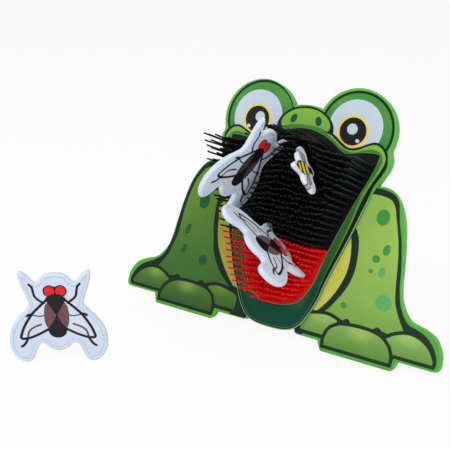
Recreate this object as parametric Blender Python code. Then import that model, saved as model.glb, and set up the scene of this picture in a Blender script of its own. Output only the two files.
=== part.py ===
# Frog toss game. A flat frog of two painted boards leans back on a folding leg.
# Its mouth is a field of stiff bristles, and soft insects thrown at it stick there.
#
# Metres, +Z up. The frog faces -Y and stands on Z = 0, with the origin under the middle
# of the whole set. Flat pieces are drawn on the boards' own plane: X runs across, Y up
# the slope from just over the toes' tips and Z out of the front of the rear board.

import math

import bmesh
import bpy
from mathutils import Matrix, Vector
from mathutils.geometry import delaunay_2d_cdt

# Clearances and allowances
SEAT_GAP = 0.0003
CUT_OVERRUN = 0.004
WELD_DISTANCE = 0.000002

# Frog boards
FOOT_SPAN = 0.440
BODY_THICKNESS = 0.010
HEAD_THICKNESS = 0.0045
BOARD_EDGE = 0.0012
LEAN_ANGLE = math.radians(23.7)
TOE_DEPTH = 0.0016
EYE_RADIUS = 0.0518
NOSE_RADIUS = 0.0704
CURVE_STEPS = 3
EYE_STEPS = 26
NOSE_STEPS = 5

# Places on the boards, as shares of the foot span: across and up the slope
EYE_CENTRE_SHARE = (0.1537, 0.6168)
NOSE_TOP_SHARE = 0.671
EYE_END_ANGLE = math.radians(-19)
RIGHT_LEG_RUN_SHARES = (
    (0.244, 0.474), (0.279, 0.472), (0.310, 0.449), (0.337, 0.397), (0.352, 0.333), (0.362, 0.267),
    (0.368, 0.220), (0.379, 0.180), (0.409, 0.140), (0.452, 0.127), (0.485, 0.110), (0.505, 0.080),
    (0.511, 0.050), (0.509, 0.034), (0.502, 0.0265), (0.491, 0.0245),
)
LEFT_LEG_RUN_SHARES = (
    (0.249, 0.474), (0.280, 0.474), (0.318, 0.455), (0.350, 0.401), (0.366, 0.333), (0.374, 0.267),
    (0.379, 0.220), (0.388, 0.180), (0.417, 0.141), (0.453, 0.126), (0.485, 0.109), (0.506, 0.080),
    (0.512, 0.050), (0.510, 0.034), (0.503, 0.0265), (0.491, 0.0245),
)
TOES_RUN_SHARES = (
    ((0.491, 0.0245), (0.400, 0.0250)),
    ((0.396, 0.018), (0.391, 0.003), (0.378, -0.016)),
    ((0.190, -0.016), (0.178, 0.001), (0.1715, 0.0125), (0.169, 0.020)),
)
RIGHT_NOTCH_RUN_SHARES = (
    ((0.165, 0.0220), (0.103, 0.0225)),
    ((0.103, 0.0225), (0.095, 0.026), (0.092, 0.034)),
    ((0.088, 0.041), (0, 0.045)),
)
LEFT_NOTCH_RUN_SHARES = (
    ((0.165, 0.0220), (0.072, 0.0225)),
    ((0.072, 0.0225), (0.064, 0.026), (0.061, 0.034)),
    ((0.057, 0.041), (0, 0.045)),
)
CHEEK_RUN_SHARES = ((0.2650, 0.567), (0.2710, 0.550), (0.2695, 0.527), (0.2610, 0.506))
RIGHT_JAW_RUN_SHARES = (
    (0.2610, 0.506), (0.2475, 0.478), (0.2322, 0.440), (0.2160, 0.389), (0.1998, 0.335),
    (0.1865, 0.295), (0.1755, 0.262), (0.1640, 0.230), (0.1455, 0.173), (0.1370, 0.140),
    (0.1215, 0.100), (0.0995, 0.0585), (0.0750, 0.0350), (0.0450, 0.0240), (0, 0.0213),
)
LEFT_JAW_RUN_SHARES = (
    (0.2610, 0.506), (0.2480, 0.478), (0.2325, 0.440), (0.2170, 0.389), (0.2035, 0.335),
    (0.1905, 0.275), (0.1790, 0.240), (0.1660, 0.205), (0.1555, 0.173), (0.1400, 0.138),
    (0.1215, 0.100), (0.0995, 0.0585), (0.0750, 0.0350), (0.0450, 0.0240), (0, 0.0213),
)
MOUTH_HALF_SHARES = (
    ((0, 0.6015), (0.0495, 0.5935), (0.0895, 0.574), (0.1195, 0.553), (0.1430, 0.546), (0.1910, 0.555),
     (0.2325, 0.556), (0.2360, 0.543), (0.2255, 0.506), (0.1985, 0.439), (0.1725, 0.372), (0.1495, 0.306),
     (0.1290, 0.246), (0.1060, 0.166), (0.0755, 0.116), (0.0390, 0.098), (0, 0.093)),
)

# The head sits a little askew on the body. As shares, how far it is moved across at its
# middle height, how much further it moves for each step down, and its rise for each
# step across.
HEAD_SHIFT_SHARE = -0.0060
HEAD_MIDDLE_SHARE = 0.620
HEAD_SLANT_SHARE = 0.0406
HEAD_RISE_SHARE = 0.004
SEAM_SHARE = 0.272

# Bristle mats
MAT_CLEARANCE = 0.0004
MAT_BACKING = 0.004
STRAND_PITCH = 0.0086
STRAND_ROOT = 0.0021
STRAND_TIP = 0.0013
STRAND_REACH_LOW = 0.034
STRAND_REACH_HIGH = 0.079
STRAND_SHORTEST = 0.003
STRAND_MARGIN = 0.0020
STUCK_CLEARANCE = 0.0005

# Soft insects
FLY_WIDTH = 0.1144
FLY_THICKNESS = 0.0092
BEE_SPAN = 0.060
BEE_THICKNESS = 0.0076
SOFT_EDGE = 0.0016
SOFT_STEPS = 2
FLY_HALF_SHARES = (
    ((0, 0.496), (0.076, 0.485), (0.133, 0.451), (0.184, 0.392), (0.227, 0.418), (0.280, 0.482),
     (0.341, 0.519), (0.362, 0.492), (0.345, 0.379), (0.300, 0.250), (0.276, 0.152), (0.322, 0.083),
     (0.408, -0.008), (0.474, -0.121), (0.502, -0.242), (0.492, -0.356), (0.438, -0.455),
     (0.345, -0.506), (0.277, -0.473), (0.237, -0.386), (0.205, -0.314), (0.155, -0.290),
     (0.091, -0.348), (0, -0.379)),
)
BEE_HALF_SHARES = (
    ((0, 0.420), (0.090, 0.390), (0.130, 0.300), (0.210, 0.262), (0.340, 0.285), (0.460, 0.225),
     (0.500, 0.120), (0.455, 0.020), (0.375, -0.045), (0.320, -0.145), (0.230, -0.185),
     (0.160, -0.190), (0.125, -0.270), (0.078, -0.400), (0.045, -0.475), (0, -0.495)),
)

# Insects stuck in the bristles. Each has its place on the board as shares of the foot
# span, its lift over the mat's backing, the way that its printed face looks, turned
# from +X, and its turn within its own plane.
UPPER_FLY_SHARE = (-0.0742, 0.4447)
UPPER_FLY_LIFT = 0.0240
UPPER_FLY_FACING = math.radians(-26.3)
UPPER_FLY_TURN = math.radians(-98.6)
LOWER_FLY_SHARE = (0.0443, 0.2468)
LOWER_FLY_LIFT = 0.0190
LOWER_FLY_FACING = math.radians(48.7)
LOWER_FLY_TURN = math.radians(181)
BEE_SHARE = (0.0944, 0.4678)
BEE_LIFT = 0.0460
BEE_FACING = math.radians(29.8)
BEE_TURN = math.radians(180)

# The insect beside the frog stands on its wing tips, across from the frog's middle and
# forward of its toes
LOOSE_FLY_ACROSS = -0.1700
LOOSE_FLY_FORWARD = 0.1866
LOOSE_FLY_FACING = math.radians(-55)

# Folding leg and its butt hinge
OPEN_ANGLE = math.radians(42)
HINGE_HEIGHT = 0.185
HINGE_WIDTH = 0.050
LEAF_LENGTH = 0.024
LEAF_THICKNESS = 0.0012
LEAF_INSET = 0.0001
KNUCKLE_RADIUS = 0.0026
KNUCKLE_COUNT = 5
PIN_RADIUS = 0.0012
PIN_CLEARANCE = 0.0003
LEG_THICKNESS = 0.010
LEG_TOP_WIDTH = 0.066
LEG_FOOT_WIDTH = 0.108
LEG_ARCH_WIDTH = 0.040
LEG_ARCH_HEIGHT = 0.020

# Countersunk wood screws
SCREW_RADIUS = 0.0014
SCREW_HEAD_RADIUS = 0.0028
SCREW_HEAD_HEIGHT = 0.0015
HINGE_SCREW_LENGTH = 0.0075
BOARD_SCREW_LENGTH = 0.0130
SCREW_CLEARANCE = 0.0003
SCREW_SUNK = 0.0002
ROUND_SEGMENTS = 12
SCREW_SEGMENTS = 10
HINGE_SCREW_SHARES = ((-0.36, 0.70), (0, 0.40), (0.36, 0.70))
BOARD_SCREW_SHARES = ((-0.175, 0.590), (0.155, 0.590), (-0.035, 0.070), (0.060, 0.070))

# Levels out of the rear board's front face
HEAD_BACK = SEAT_GAP
MAT_FACE = SEAT_GAP + MAT_BACKING
BOARD_BACK = -BODY_THICKNESS
PIN_DEPTH = BODY_THICKNESS + SEAT_GAP + KNUCKLE_RADIUS


def clear_scene():
    """Remove what the scene holds."""
    for item in list(bpy.data.objects):
        bpy.data.objects.remove(item, do_unlink=True)


def make_collection(name):
    """A collection under the scene's own."""
    group = bpy.data.collections.new(name)
    bpy.context.scene.collection.children.link(group)
    return group


def make_finish(name, colour, roughness, metallic):
    """A plain Principled material."""
    finish = bpy.data.materials.new(name)
    finish.use_nodes = True
    shader = finish.node_tree.nodes["Principled BSDF"]
    shader.inputs["Base Color"].default_value = (*colour, 1)
    shader.inputs["Roughness"].default_value = roughness
    shader.inputs["Metallic"].default_value = metallic
    return finish


def add_part(name, mesh, finish, parent, place):
    """A named piece of the game under its frame."""
    part = bpy.data.objects.new(name, mesh)
    mesh.materials.append(finish)
    part.parent = parent
    part.matrix_local = place
    PARTS.objects.link(part)
    return part


def add_cutter(name, mesh, parent, place):
    """A hidden tool body for a cut or a union."""
    tool = bpy.data.objects.new(name, mesh)
    tool.parent = parent
    tool.matrix_local = place
    tool.hide_render = True
    tool.display_type = "WIRE"
    CUTTERS.objects.link(tool)
    return tool


def add_frame(name, parent, place):
    """An empty that carries pieces."""
    frame = bpy.data.objects.new(name, None)
    frame.parent = parent
    frame.matrix_local = place
    PARTS.objects.link(frame)
    return frame


def combine(part, tool, operation):
    """A Boolean of a tool body on a part."""
    change = part.modifiers.new(tool.name, "BOOLEAN")
    change.operation = operation
    change.object = tool
    change.solver = "EXACT"


def shared_point(shares):
    """A place on the boards from its shares of the foot span."""
    return Vector((shares[0] * FOOT_SPAN, shares[1] * FOOT_SPAN))


def smooth_run(points, steps):
    """Points on a smooth curve through the given ones. An end on the middle line
    takes its mirrored neighbour, so the curve crosses that line squarely."""
    def neighbour(end, inner):
        return Vector((-inner.x, inner.y)) if end.x == 0 else end
    padded = [neighbour(points[0], points[1]), *points, neighbour(points[-1], points[-2])]
    result = []
    for index in range(1, len(padded) - 2):
        before, start, end, after = padded[index - 1:index + 3]
        for step in range(steps):
            t = step / steps
            bend = 2 * before - 5 * start + 4 * end - after
            twist = 3 * start - before - 3 * end + after
            result.append(start + (t * (end - before) + t * t * bend + t ** 3 * twist) / 2)
    result.append(points[-1])
    return result


def half_from(runs, size, steps):
    """Half an outline, from the top to the bottom, from its runs in shares of a size.
    Runs meet in corners, and a run of two points is straight."""
    half = []
    for run in runs:
        points = [Vector((across * size, up * size)) for across, up in run]
        path = smooth_run(points, steps) if len(points) > 2 else points
        for point in path:
            if not half or (point - half[-1]).length > WELD_DISTANCE:
                half.append(point)
    return half


def closed(right_half, left_half):
    """A closed outline from two halves, the left one drawn as if it were on the right."""
    return right_half + mirrored(reversed(left_half[1:-1]))


def outline_from(runs, size, steps):
    """A closed outline, the same on both sides, from the runs of its right half."""
    half = half_from(runs, size, steps)
    return closed(half, half)


def mirrored(outline):
    """The same points on the other side of the middle line."""
    return [Vector((-point.x, point.y)) for point in outline]


def askew(outline):
    """Points of the head, drawn upright, where they sit on the body."""
    middle = HEAD_MIDDLE_SHARE * FOOT_SPAN
    result = []
    for point in outline:
        across = HEAD_SHIFT_SHARE * FOOT_SPAN + HEAD_SLANT_SHARE * (middle - point.y)
        result.append(Vector((point.x + across, point.y + HEAD_RISE_SHARE * point.x)))
    return result


def circles_meet(centre_a, radius_a, centre_b, radius_b):
    """The upper point where two circles cross."""
    apart = centre_b - centre_a
    along = (apart.length_squared + radius_a ** 2 - radius_b ** 2) / (2 * apart.length)
    aside = math.sqrt(radius_a ** 2 - along ** 2)
    unit = apart.normalized()
    across = Vector((-unit.y, unit.x))
    meets = [centre_a + unit * along + across * side for side in (aside, -aside)]
    return max(meets, key=lambda point: point.y)


def arc(centre, radius, start, end, steps):
    """Points along an arc, ends included."""
    angles = [start + (end - start) * step / steps for step in range(steps + 1)]
    return [centre + radius * Vector((math.cos(angle), math.sin(angle))) for angle in angles]


def crown_half():
    """Right half of the head from the top of the nose dome round the eye."""
    eye = shared_point(EYE_CENTRE_SHARE)
    nose = Vector((0, NOSE_TOP_SHARE * FOOT_SPAN - NOSE_RADIUS))
    meet = circles_meet(nose, NOSE_RADIUS, eye, EYE_RADIUS)
    nose_end = math.atan2(meet.y - nose.y, meet.x - nose.x)
    eye_start = math.atan2(meet.y - eye.y, meet.x - eye.x)
    half = arc(nose, NOSE_RADIUS, math.pi / 2, nose_end, NOSE_STEPS)
    return half + arc(eye, EYE_RADIUS, eye_start, EYE_END_ANGLE, EYE_STEPS)[1:]


def head_outline():
    """Nose dome, eyes, cheeks and jaw of the front board."""
    halves = []
    for jaw in (RIGHT_JAW_RUN_SHARES, LEFT_JAW_RUN_SHARES):
        halves.append(crown_half() + half_from((CHEEK_RUN_SHARES[:-1] + jaw,), FOOT_SPAN, CURVE_STEPS))
    return askew(closed(*halves))


def body_outline():
    """Rear board: the head's outline down to the cheeks, then legs and toes. Its left leg
    stands a little wider."""
    crown = crown_half() + half_from((CHEEK_RUN_SHARES,), FOOT_SPAN, CURVE_STEPS)
    right_crown = askew(crown)
    left_crown = mirrored(askew(mirrored(crown)))
    right_runs = (RIGHT_LEG_RUN_SHARES, *TOES_RUN_SHARES, *RIGHT_NOTCH_RUN_SHARES)
    left_runs = (LEFT_LEG_RUN_SHARES, *TOES_RUN_SHARES, *LEFT_NOTCH_RUN_SHARES)
    right_leg = half_from(right_runs, FOOT_SPAN, CURVE_STEPS)
    left_leg = half_from(left_runs, FOOT_SPAN, CURVE_STEPS)
    return closed(right_crown + right_leg, left_crown + left_leg)


def grown(outline, distance):
    """An outline that runs clockwise, moved outwards; less than zero moves it in."""
    result = []
    count = len(outline)
    for index, point in enumerate(outline):
        coming = (point - outline[index - 1]).normalized()
        going = (outline[(index + 1) % count] - point).normalized()
        side_a = Vector((-coming.y, coming.x))
        side_b = Vector((-going.y, going.x))
        result.append(point + distance * (side_a + side_b) / (1 + side_a.dot(side_b)))
    return result


def kept_side(outline, level, sign):
    """The part of an outline above a level, or below it where the sign is -1."""
    result = []
    for index, point in enumerate(outline):
        last = outline[index - 1]
        if (last.y - level) * (point.y - level) < 0:
            result.append(last.lerp(point, (level - last.y) / (point.y - last.y)))
        if (point.y - level) * sign > 0:
            result.append(point)
    return result


def is_inside(point, outline):
    """Whether a point lies in a closed outline."""
    inside = False
    for index, corner in enumerate(outline):
        last = outline[index - 1]
        if (corner.y > point.y) != (last.y > point.y):
            crossing = last.lerp(corner, (point.y - last.y) / (corner.y - last.y))
            inside = inside != (crossing.x > point.x)
    return inside


def curve_solid(name, outlines, thickness, edge):
    """A flat plate with chamfered edges. Outlines after the first are holes, and its
    middle plane is at Z = 0."""
    curve = bpy.data.curves.new(name, "CURVE")
    curve.dimensions = "2D"
    curve.fill_mode = "BOTH"
    curve.extrude = thickness / 2 - edge
    curve.bevel_depth = edge
    curve.bevel_resolution = 0
    for number, outline in enumerate(outlines):
        drawn = grown(outline, edge if number else -edge)
        spline = curve.splines.new("POLY")
        spline.points.add(len(drawn) - 1)
        for point, place in zip(spline.points, drawn):
            point.co = (place.x, place.y, 0, 1)
        spline.use_cyclic_u = True
    holder = bpy.data.objects.new(name, curve)
    bpy.context.scene.collection.objects.link(holder)
    bpy.context.view_layer.update()
    mesh = bpy.data.meshes.new_from_object(holder.evaluated_get(bpy.context.evaluated_depsgraph_get()))
    bpy.data.objects.remove(holder, do_unlink=True)
    return welded(name, mesh)


def welded(name, mesh):
    """A mesh with its loose seams joined and its faces pointing out."""
    work = bmesh.new()
    work.from_mesh(mesh)
    bmesh.ops.remove_doubles(work, verts=work.verts, dist=WELD_DISTANCE)
    bmesh.ops.recalc_face_normals(work, faces=work.faces)
    work.to_mesh(mesh)
    work.free()
    mesh.name = name
    return mesh


def mesh_from(work, name):
    """A finished mesh from a working one."""
    bmesh.ops.recalc_face_normals(work, faces=work.faces)
    mesh = bpy.data.meshes.new(name)
    work.to_mesh(mesh)
    work.free()
    return mesh


def add_box(work, low, high):
    """A box between two corners."""
    size = [top - bottom for bottom, top in zip(low, high)]
    centre = [(top + bottom) / 2 for bottom, top in zip(low, high)]
    place = Matrix.Translation(centre) @ Matrix.Diagonal((*size, 1))
    bmesh.ops.create_cube(work, size=1, matrix=place)


def add_turned(work, profile, segments, place):
    """A solid turned round Z from a profile of radius and height that starts and ends
    on the axis."""
    verts = [work.verts.new((radius, 0, height)) for radius, height in profile]
    edges = [work.edges.new(pair) for pair in zip(verts, verts[1:])]
    bmesh.ops.spin(work, geom=verts + edges, cent=(0, 0, 0), axis=(0, 0, 1), dvec=(0, 0, 0),
                   angle=math.tau, steps=segments, use_merge=True, use_duplicate=False)
    fresh = [vert for vert in work.verts if not vert.tag]
    bmesh.ops.remove_doubles(work, verts=fresh, dist=WELD_DISTANCE)
    fresh = [vert for vert in work.verts if not vert.tag]
    bmesh.ops.transform(work, matrix=place, verts=fresh)
    for vert in fresh:
        vert.tag = True


def add_rod(work, radius, low, high):
    """A round rod along X."""
    place = Matrix.Translation(((low + high) / 2, 0, 0)) @ Matrix.Rotation(math.pi / 2, 4, "Y")
    bmesh.ops.create_cone(work, cap_ends=True, segments=ROUND_SEGMENTS, radius1=radius, radius2=radius,
                          depth=high - low, matrix=place)


def screw_profile(length, spread, overrun):
    """Countersunk screw, head up, grown by a spread and with its head run on."""
    head = SCREW_HEAD_RADIUS + spread
    shank = SCREW_RADIUS + spread
    return [(0, overrun), (head, overrun), (head, -spread), (shank, -SCREW_HEAD_HEIGHT - spread),
            (shank, -length + SCREW_RADIUS - spread), (0, -length - spread)]


def screw_set(name, places, length, parent, finish):
    """Equal screws, and the tool that cuts their holes."""
    holes = bmesh.new()
    sunk = Matrix.Translation((0, 0, -SCREW_SUNK))
    for number, place in enumerate(places, start=1):
        screw = bmesh.new()
        add_turned(screw, screw_profile(length, 0, 0), SCREW_SEGMENTS, Matrix())
        label = f"{name}_{number}"
        add_part(label, mesh_from(screw, label), finish, parent, place @ sunk)
        profile = screw_profile(length, SCREW_CLEARANCE, CUT_OVERRUN)
        add_turned(holes, profile, SCREW_SEGMENTS, place @ sunk)
    return add_cutter(name + "_holes", mesh_from(holes, name + "_holes"), parent, Matrix())


def insect_frame(shares, lift, facing, turn, outline):
    """The frame of an insect that stands edge-on in the bristles, as a matrix on the
    boards' plane. Its lowest edge is the lift over the mat's backing."""
    forward = Vector((math.cos(facing), math.sin(facing), 0))
    along = Vector((-math.sin(facing), math.cos(facing), 0))
    outward = Vector((0, 0, 1))
    across = math.cos(turn) * along + math.sin(turn) * outward
    up = -math.sin(turn) * along + math.cos(turn) * outward
    lowest = min((across * point.x + up * point.y).z for point in outline)
    spot = shared_point(shares)
    origin = Vector((spot.x, spot.y, MAT_FACE + lift - lowest))
    return Matrix.Translation(origin) @ Matrix((across, up, forward)).transposed().to_4x4()


def lowest_over(outline, frame, facing, root):
    """How low an insect comes over a strand's root, or nothing where it doesn't."""
    forward = Vector((math.cos(facing), math.sin(facing)))
    along = Vector((-forward.y, forward.x))
    away = root - frame.translation.xy
    placed = [frame @ point.to_3d() - frame.translation for point in outline]
    profile = [Vector((point.xy.dot(along), point.z)) for point in placed]
    reach = STRAND_ROOT + STUCK_CLEARANCE
    here = away.dot(along)
    heights = [point.y for point in profile if abs(point.x - here) < reach]
    for side in (here - reach, here, here + reach):
        for index, point in enumerate(profile):
            last = profile[index - 1]
            if (last.x - side) * (point.x - side) < 0:
                heights.append(last.lerp(point, (side - last.x) / (point.x - last.x)).y)
    if not heights:
        return None
    return frame.translation.z + min(heights)


def strand_height(root, stuck):
    """Height of a strand's tip over the rear board's face. Strands are longer towards
    the top of the mouth, and those under a stuck insect are pressed down by it."""
    low = min(point.y for point in MOUTH)
    high = max(point.y for point in MOUTH)
    share = (root.y - low) / (high - low)
    height = STRAND_REACH_LOW + (STRAND_REACH_HIGH - STRAND_REACH_LOW) * share
    for outline, thickness, frame, facing in stuck:
        aside = (root - frame.translation.xy).dot(Vector((math.cos(facing), math.sin(facing))))
        if abs(aside) < thickness / 2 + STRAND_ROOT + STUCK_CLEARANCE:
            limit = lowest_over(outline, frame, facing, root)
            if limit is not None:
                height = min(height, limit - SEAT_GAP)
    return height


def strand_roots(outline):
    """Staggered rows of strand roots inside an outline."""
    field = grown(outline, -STRAND_MARGIN)
    row_pitch = STRAND_PITCH * math.sqrt(3) / 2
    rows = int(FOOT_SPAN / row_pitch)
    columns = int(FOOT_SPAN / STRAND_PITCH / 2)
    roots = []
    for row in range(rows):
        for column in range(-columns, columns + 1):
            root = Vector(((column + row % 2 / 2) * STRAND_PITCH, row * row_pitch))
            if is_inside(root, field):
                roots.append(root)
    return roots


def bristle_mat(name, outline, stuck, finish):
    """A backing slab with square strands grown out of its face."""
    tips = {}
    for number, root in enumerate(strand_roots(outline)):
        height = strand_height(root, stuck)
        if height - MAT_FACE > STRAND_SHORTEST:
            tips[number] = (root, height)
    half = STRAND_ROOT / 2
    corners = [Vector(pair) * half for pair in ((-1, -1), (1, -1), (1, 1), (-1, 1))]
    points = list(outline)
    faces = [list(range(len(outline)))]
    for root, height in tips.values():
        faces.append(list(range(len(points), len(points) + len(corners))))
        points += [root + corner for corner in corners]
    fine = WELD_DISTANCE / 10
    flat_points, _, flat_faces, _, _, sources = delaunay_2d_cdt(points, [], faces, 1, fine)
    work = bmesh.new()
    verts = [work.verts.new((point.x, point.y, MAT_FACE)) for point in flat_points]
    grown_faces = {}
    for corner_numbers, source in zip(flat_faces, sources):
        face = work.faces.new([verts[number] for number in corner_numbers])
        for owner in source:
            if owner:
                grown_faces.setdefault(owner, []).append(face)
    rim = [edge for edge in work.edges if edge.is_boundary]
    for owner, (root, height) in enumerate(tips.values(), start=1):
        made = bmesh.ops.extrude_face_region(work, geom=grown_faces[owner])
        bmesh.ops.delete(work, geom=grown_faces[owner], context="FACES")
        for vert in (item for item in made["geom"] if isinstance(item, bmesh.types.BMVert)):
            vert.co.xy = root + (vert.co.xy - root) * STRAND_TIP / STRAND_ROOT
            vert.co.z = height
    made = bmesh.ops.extrude_edge_only(work, edges=rim)["geom"]
    for vert in (item for item in made if isinstance(item, bmesh.types.BMVert)):
        vert.co.z = SEAT_GAP
    floor = [edge for edge in made if isinstance(edge, bmesh.types.BMEdge) and edge.is_boundary]
    bmesh.ops.edgeloop_fill(work, edges=floor)
    print(name, "strands", len(tips))
    add_part(name, mesh_from(work, name), finish, BOARD, Matrix())


def insect(name, outline, thickness, frame, finish):
    """The two padded halves of an insect, front and back of its seam."""
    half = (thickness - SEAT_GAP) / 2
    for suffix, side in (("front", 1), ("back", -1)):
        mesh = curve_solid(name + "_" + suffix, [outline], half, SOFT_EDGE)
        place = Matrix.Translation((0, 0, side * (half + SEAT_GAP) / 2))
        add_part(name + "_" + suffix, mesh, finish, frame, place)


def ground_tool():
    """Everything under the floor."""
    work = bmesh.new()
    reach = FOOT_SPAN
    add_box(work, (-reach, -reach, -reach), (reach, reach, 0))
    return add_cutter("ground_cut", mesh_from(work, "ground_cut"), GAME, Matrix())


def knuckle_spans(own):
    """The stretches of the hinge that the barrel's own knuckles take: 0 or 1."""
    width = HINGE_WIDTH / KNUCKLE_COUNT
    start = -HINGE_WIDTH / 2
    spans = []
    for number in range(own, KNUCKLE_COUNT, 2):
        spans.append((start + number * width + SEAT_GAP / 2, start + (number + 1) * width - SEAT_GAP / 2))
    return spans


def hinge_leaf(name, own, side, frame, finish):
    """A leaf that hangs down from the pin, with its own knuckles round the bore. Its
    plate is on the front side of the pin or, where the side is -1, on the back."""
    neck = KNUCKLE_RADIUS + SEAT_GAP + LEAF_THICKNESS / 2
    face = KNUCKLE_RADIUS - LEAF_INSET
    levels = sorted((side * (face - LEAF_THICKNESS), side * face))
    work = bmesh.new()
    add_box(work, (-HINGE_WIDTH / 2, -LEAF_LENGTH, levels[0]), (HINGE_WIDTH / 2, -neck, levels[1]))
    leaf = add_part(name, mesh_from(work, name), finish, frame, Matrix())
    tongues = bmesh.new()
    barrels = bmesh.new()
    for low, high in knuckle_spans(own):
        inner = (low + SEAT_GAP, -neck - LEAF_THICKNESS, levels[0])
        add_box(tongues, inner, (high - SEAT_GAP, 0, levels[1]))
        add_rod(barrels, KNUCKLE_RADIUS, low, high)
    bore = bmesh.new()
    reach = HINGE_WIDTH / 2 + CUT_OVERRUN
    add_rod(bore, PIN_RADIUS + PIN_CLEARANCE, -reach, reach)
    tools = ((tongues, "_tongues", "UNION"), (barrels, "_barrels", "UNION"), (bore, "_bore", "DIFFERENCE"))
    for work, suffix, operation in tools:
        tool = add_cutter(name + suffix, mesh_from(work, name + suffix), frame, Matrix())
        combine(leaf, tool, operation)
    return leaf


def hinge_screw_places(side):
    """Where the hinge's screws enter a leaf from the pin's side."""
    turn = Matrix() if side < 0 else Matrix.Rotation(math.pi, 4, "X")
    level = side * (KNUCKLE_RADIUS - LEAF_INSET - LEAF_THICKNESS)
    places = []
    for across, down in HINGE_SCREW_SHARES:
        spot = Matrix.Translation((across * HINGE_WIDTH, -down * LEAF_LENGTH, level))
        places.append(spot @ turn)
    return places


def hinge_pin(frame, finish):
    """The hinge's plain pin, flush with the end knuckles."""
    work = bmesh.new()
    add_rod(work, PIN_RADIUS, -HINGE_WIDTH / 2, HINGE_WIDTH / 2)
    add_part("hinge_pin", mesh_from(work, "hinge_pin"), finish, frame, Matrix())


def leg_outline(length):
    """Tapered leg with an arch between its two feet, round the pin's height."""
    top = LEG_TOP_WIDTH / 2
    foot = LEG_FOOT_WIDTH / 2
    arch = LEG_ARCH_WIDTH / 2
    crown = -length + LEG_ARCH_HEIGHT
    heel = 2 * (LEG_THICKNESS + PIN_DEPTH - BODY_THICKNESS)
    bottom = -length - LEG_THICKNESS
    curve = arc(Vector((0, 0)), 1, 0, math.pi / 2, 2 * CURVE_STEPS)
    half = [Vector((0, heel)), Vector((top, heel)), Vector((foot, bottom)), Vector((arch, bottom))]
    half += [Vector((arch * unit.x, -length + LEG_ARCH_HEIGHT * unit.y)) for unit in curve[:-1]]
    half.append(Vector((0, crown)))
    return closed(half, half)


def stand_leg(hinge_place, swing_frame, finish):
    """The folding leg. Its heel over the pin is cut to lie on the board's back when
    open, and its feet are cut level with the floor."""
    height = (BOARD_PLACE @ hinge_place).translation.z
    length = height / math.cos(OPEN_ANGLE - LEAN_ANGLE)
    mesh = curve_solid("stand_leg", [leg_outline(length)], LEG_THICKNESS, BOARD_EDGE)
    depth = KNUCKLE_RADIUS + SEAT_GAP + LEG_THICKNESS / 2
    leg = add_part("stand_leg", mesh, finish, swing_frame, Matrix.Translation((0, 0, -depth)))
    work = bmesh.new()
    low = (-FOOT_SPAN, 0, BOARD_BACK - SEAT_GAP)
    add_box(work, low, (FOOT_SPAN, FOOT_SPAN, BODY_THICKNESS))
    stop = add_cutter("heel_stop_cut", mesh_from(work, "heel_stop_cut"), BOARD, Matrix())
    combine(leg, stop, "DIFFERENCE")
    combine(leg, GROUND, "DIFFERENCE")
    return leg


def board_screw_places():
    """Where screws enter the rear board's back."""
    turn = Matrix.Rotation(math.pi, 4, "X")
    places = []
    for shares in BOARD_SCREW_SHARES:
        spot = shared_point(shares)
        places.append(Matrix.Translation((spot.x, spot.y, BOARD_BACK)) @ turn)
    return places


def centre_on_origin():
    """Move the whole set so that the origin is under its middle."""
    bpy.context.view_layer.update()
    graph = bpy.context.evaluated_depsgraph_get()
    reaches = []
    for part in (item for item in PARTS.objects if item.type == "MESH"):
        solid = part.evaluated_get(graph)
        reaches += [(part.matrix_world @ vert.co).y for vert in solid.data.vertices]
    GAME.location.y = -(min(reaches) + max(reaches)) / 2


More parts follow.
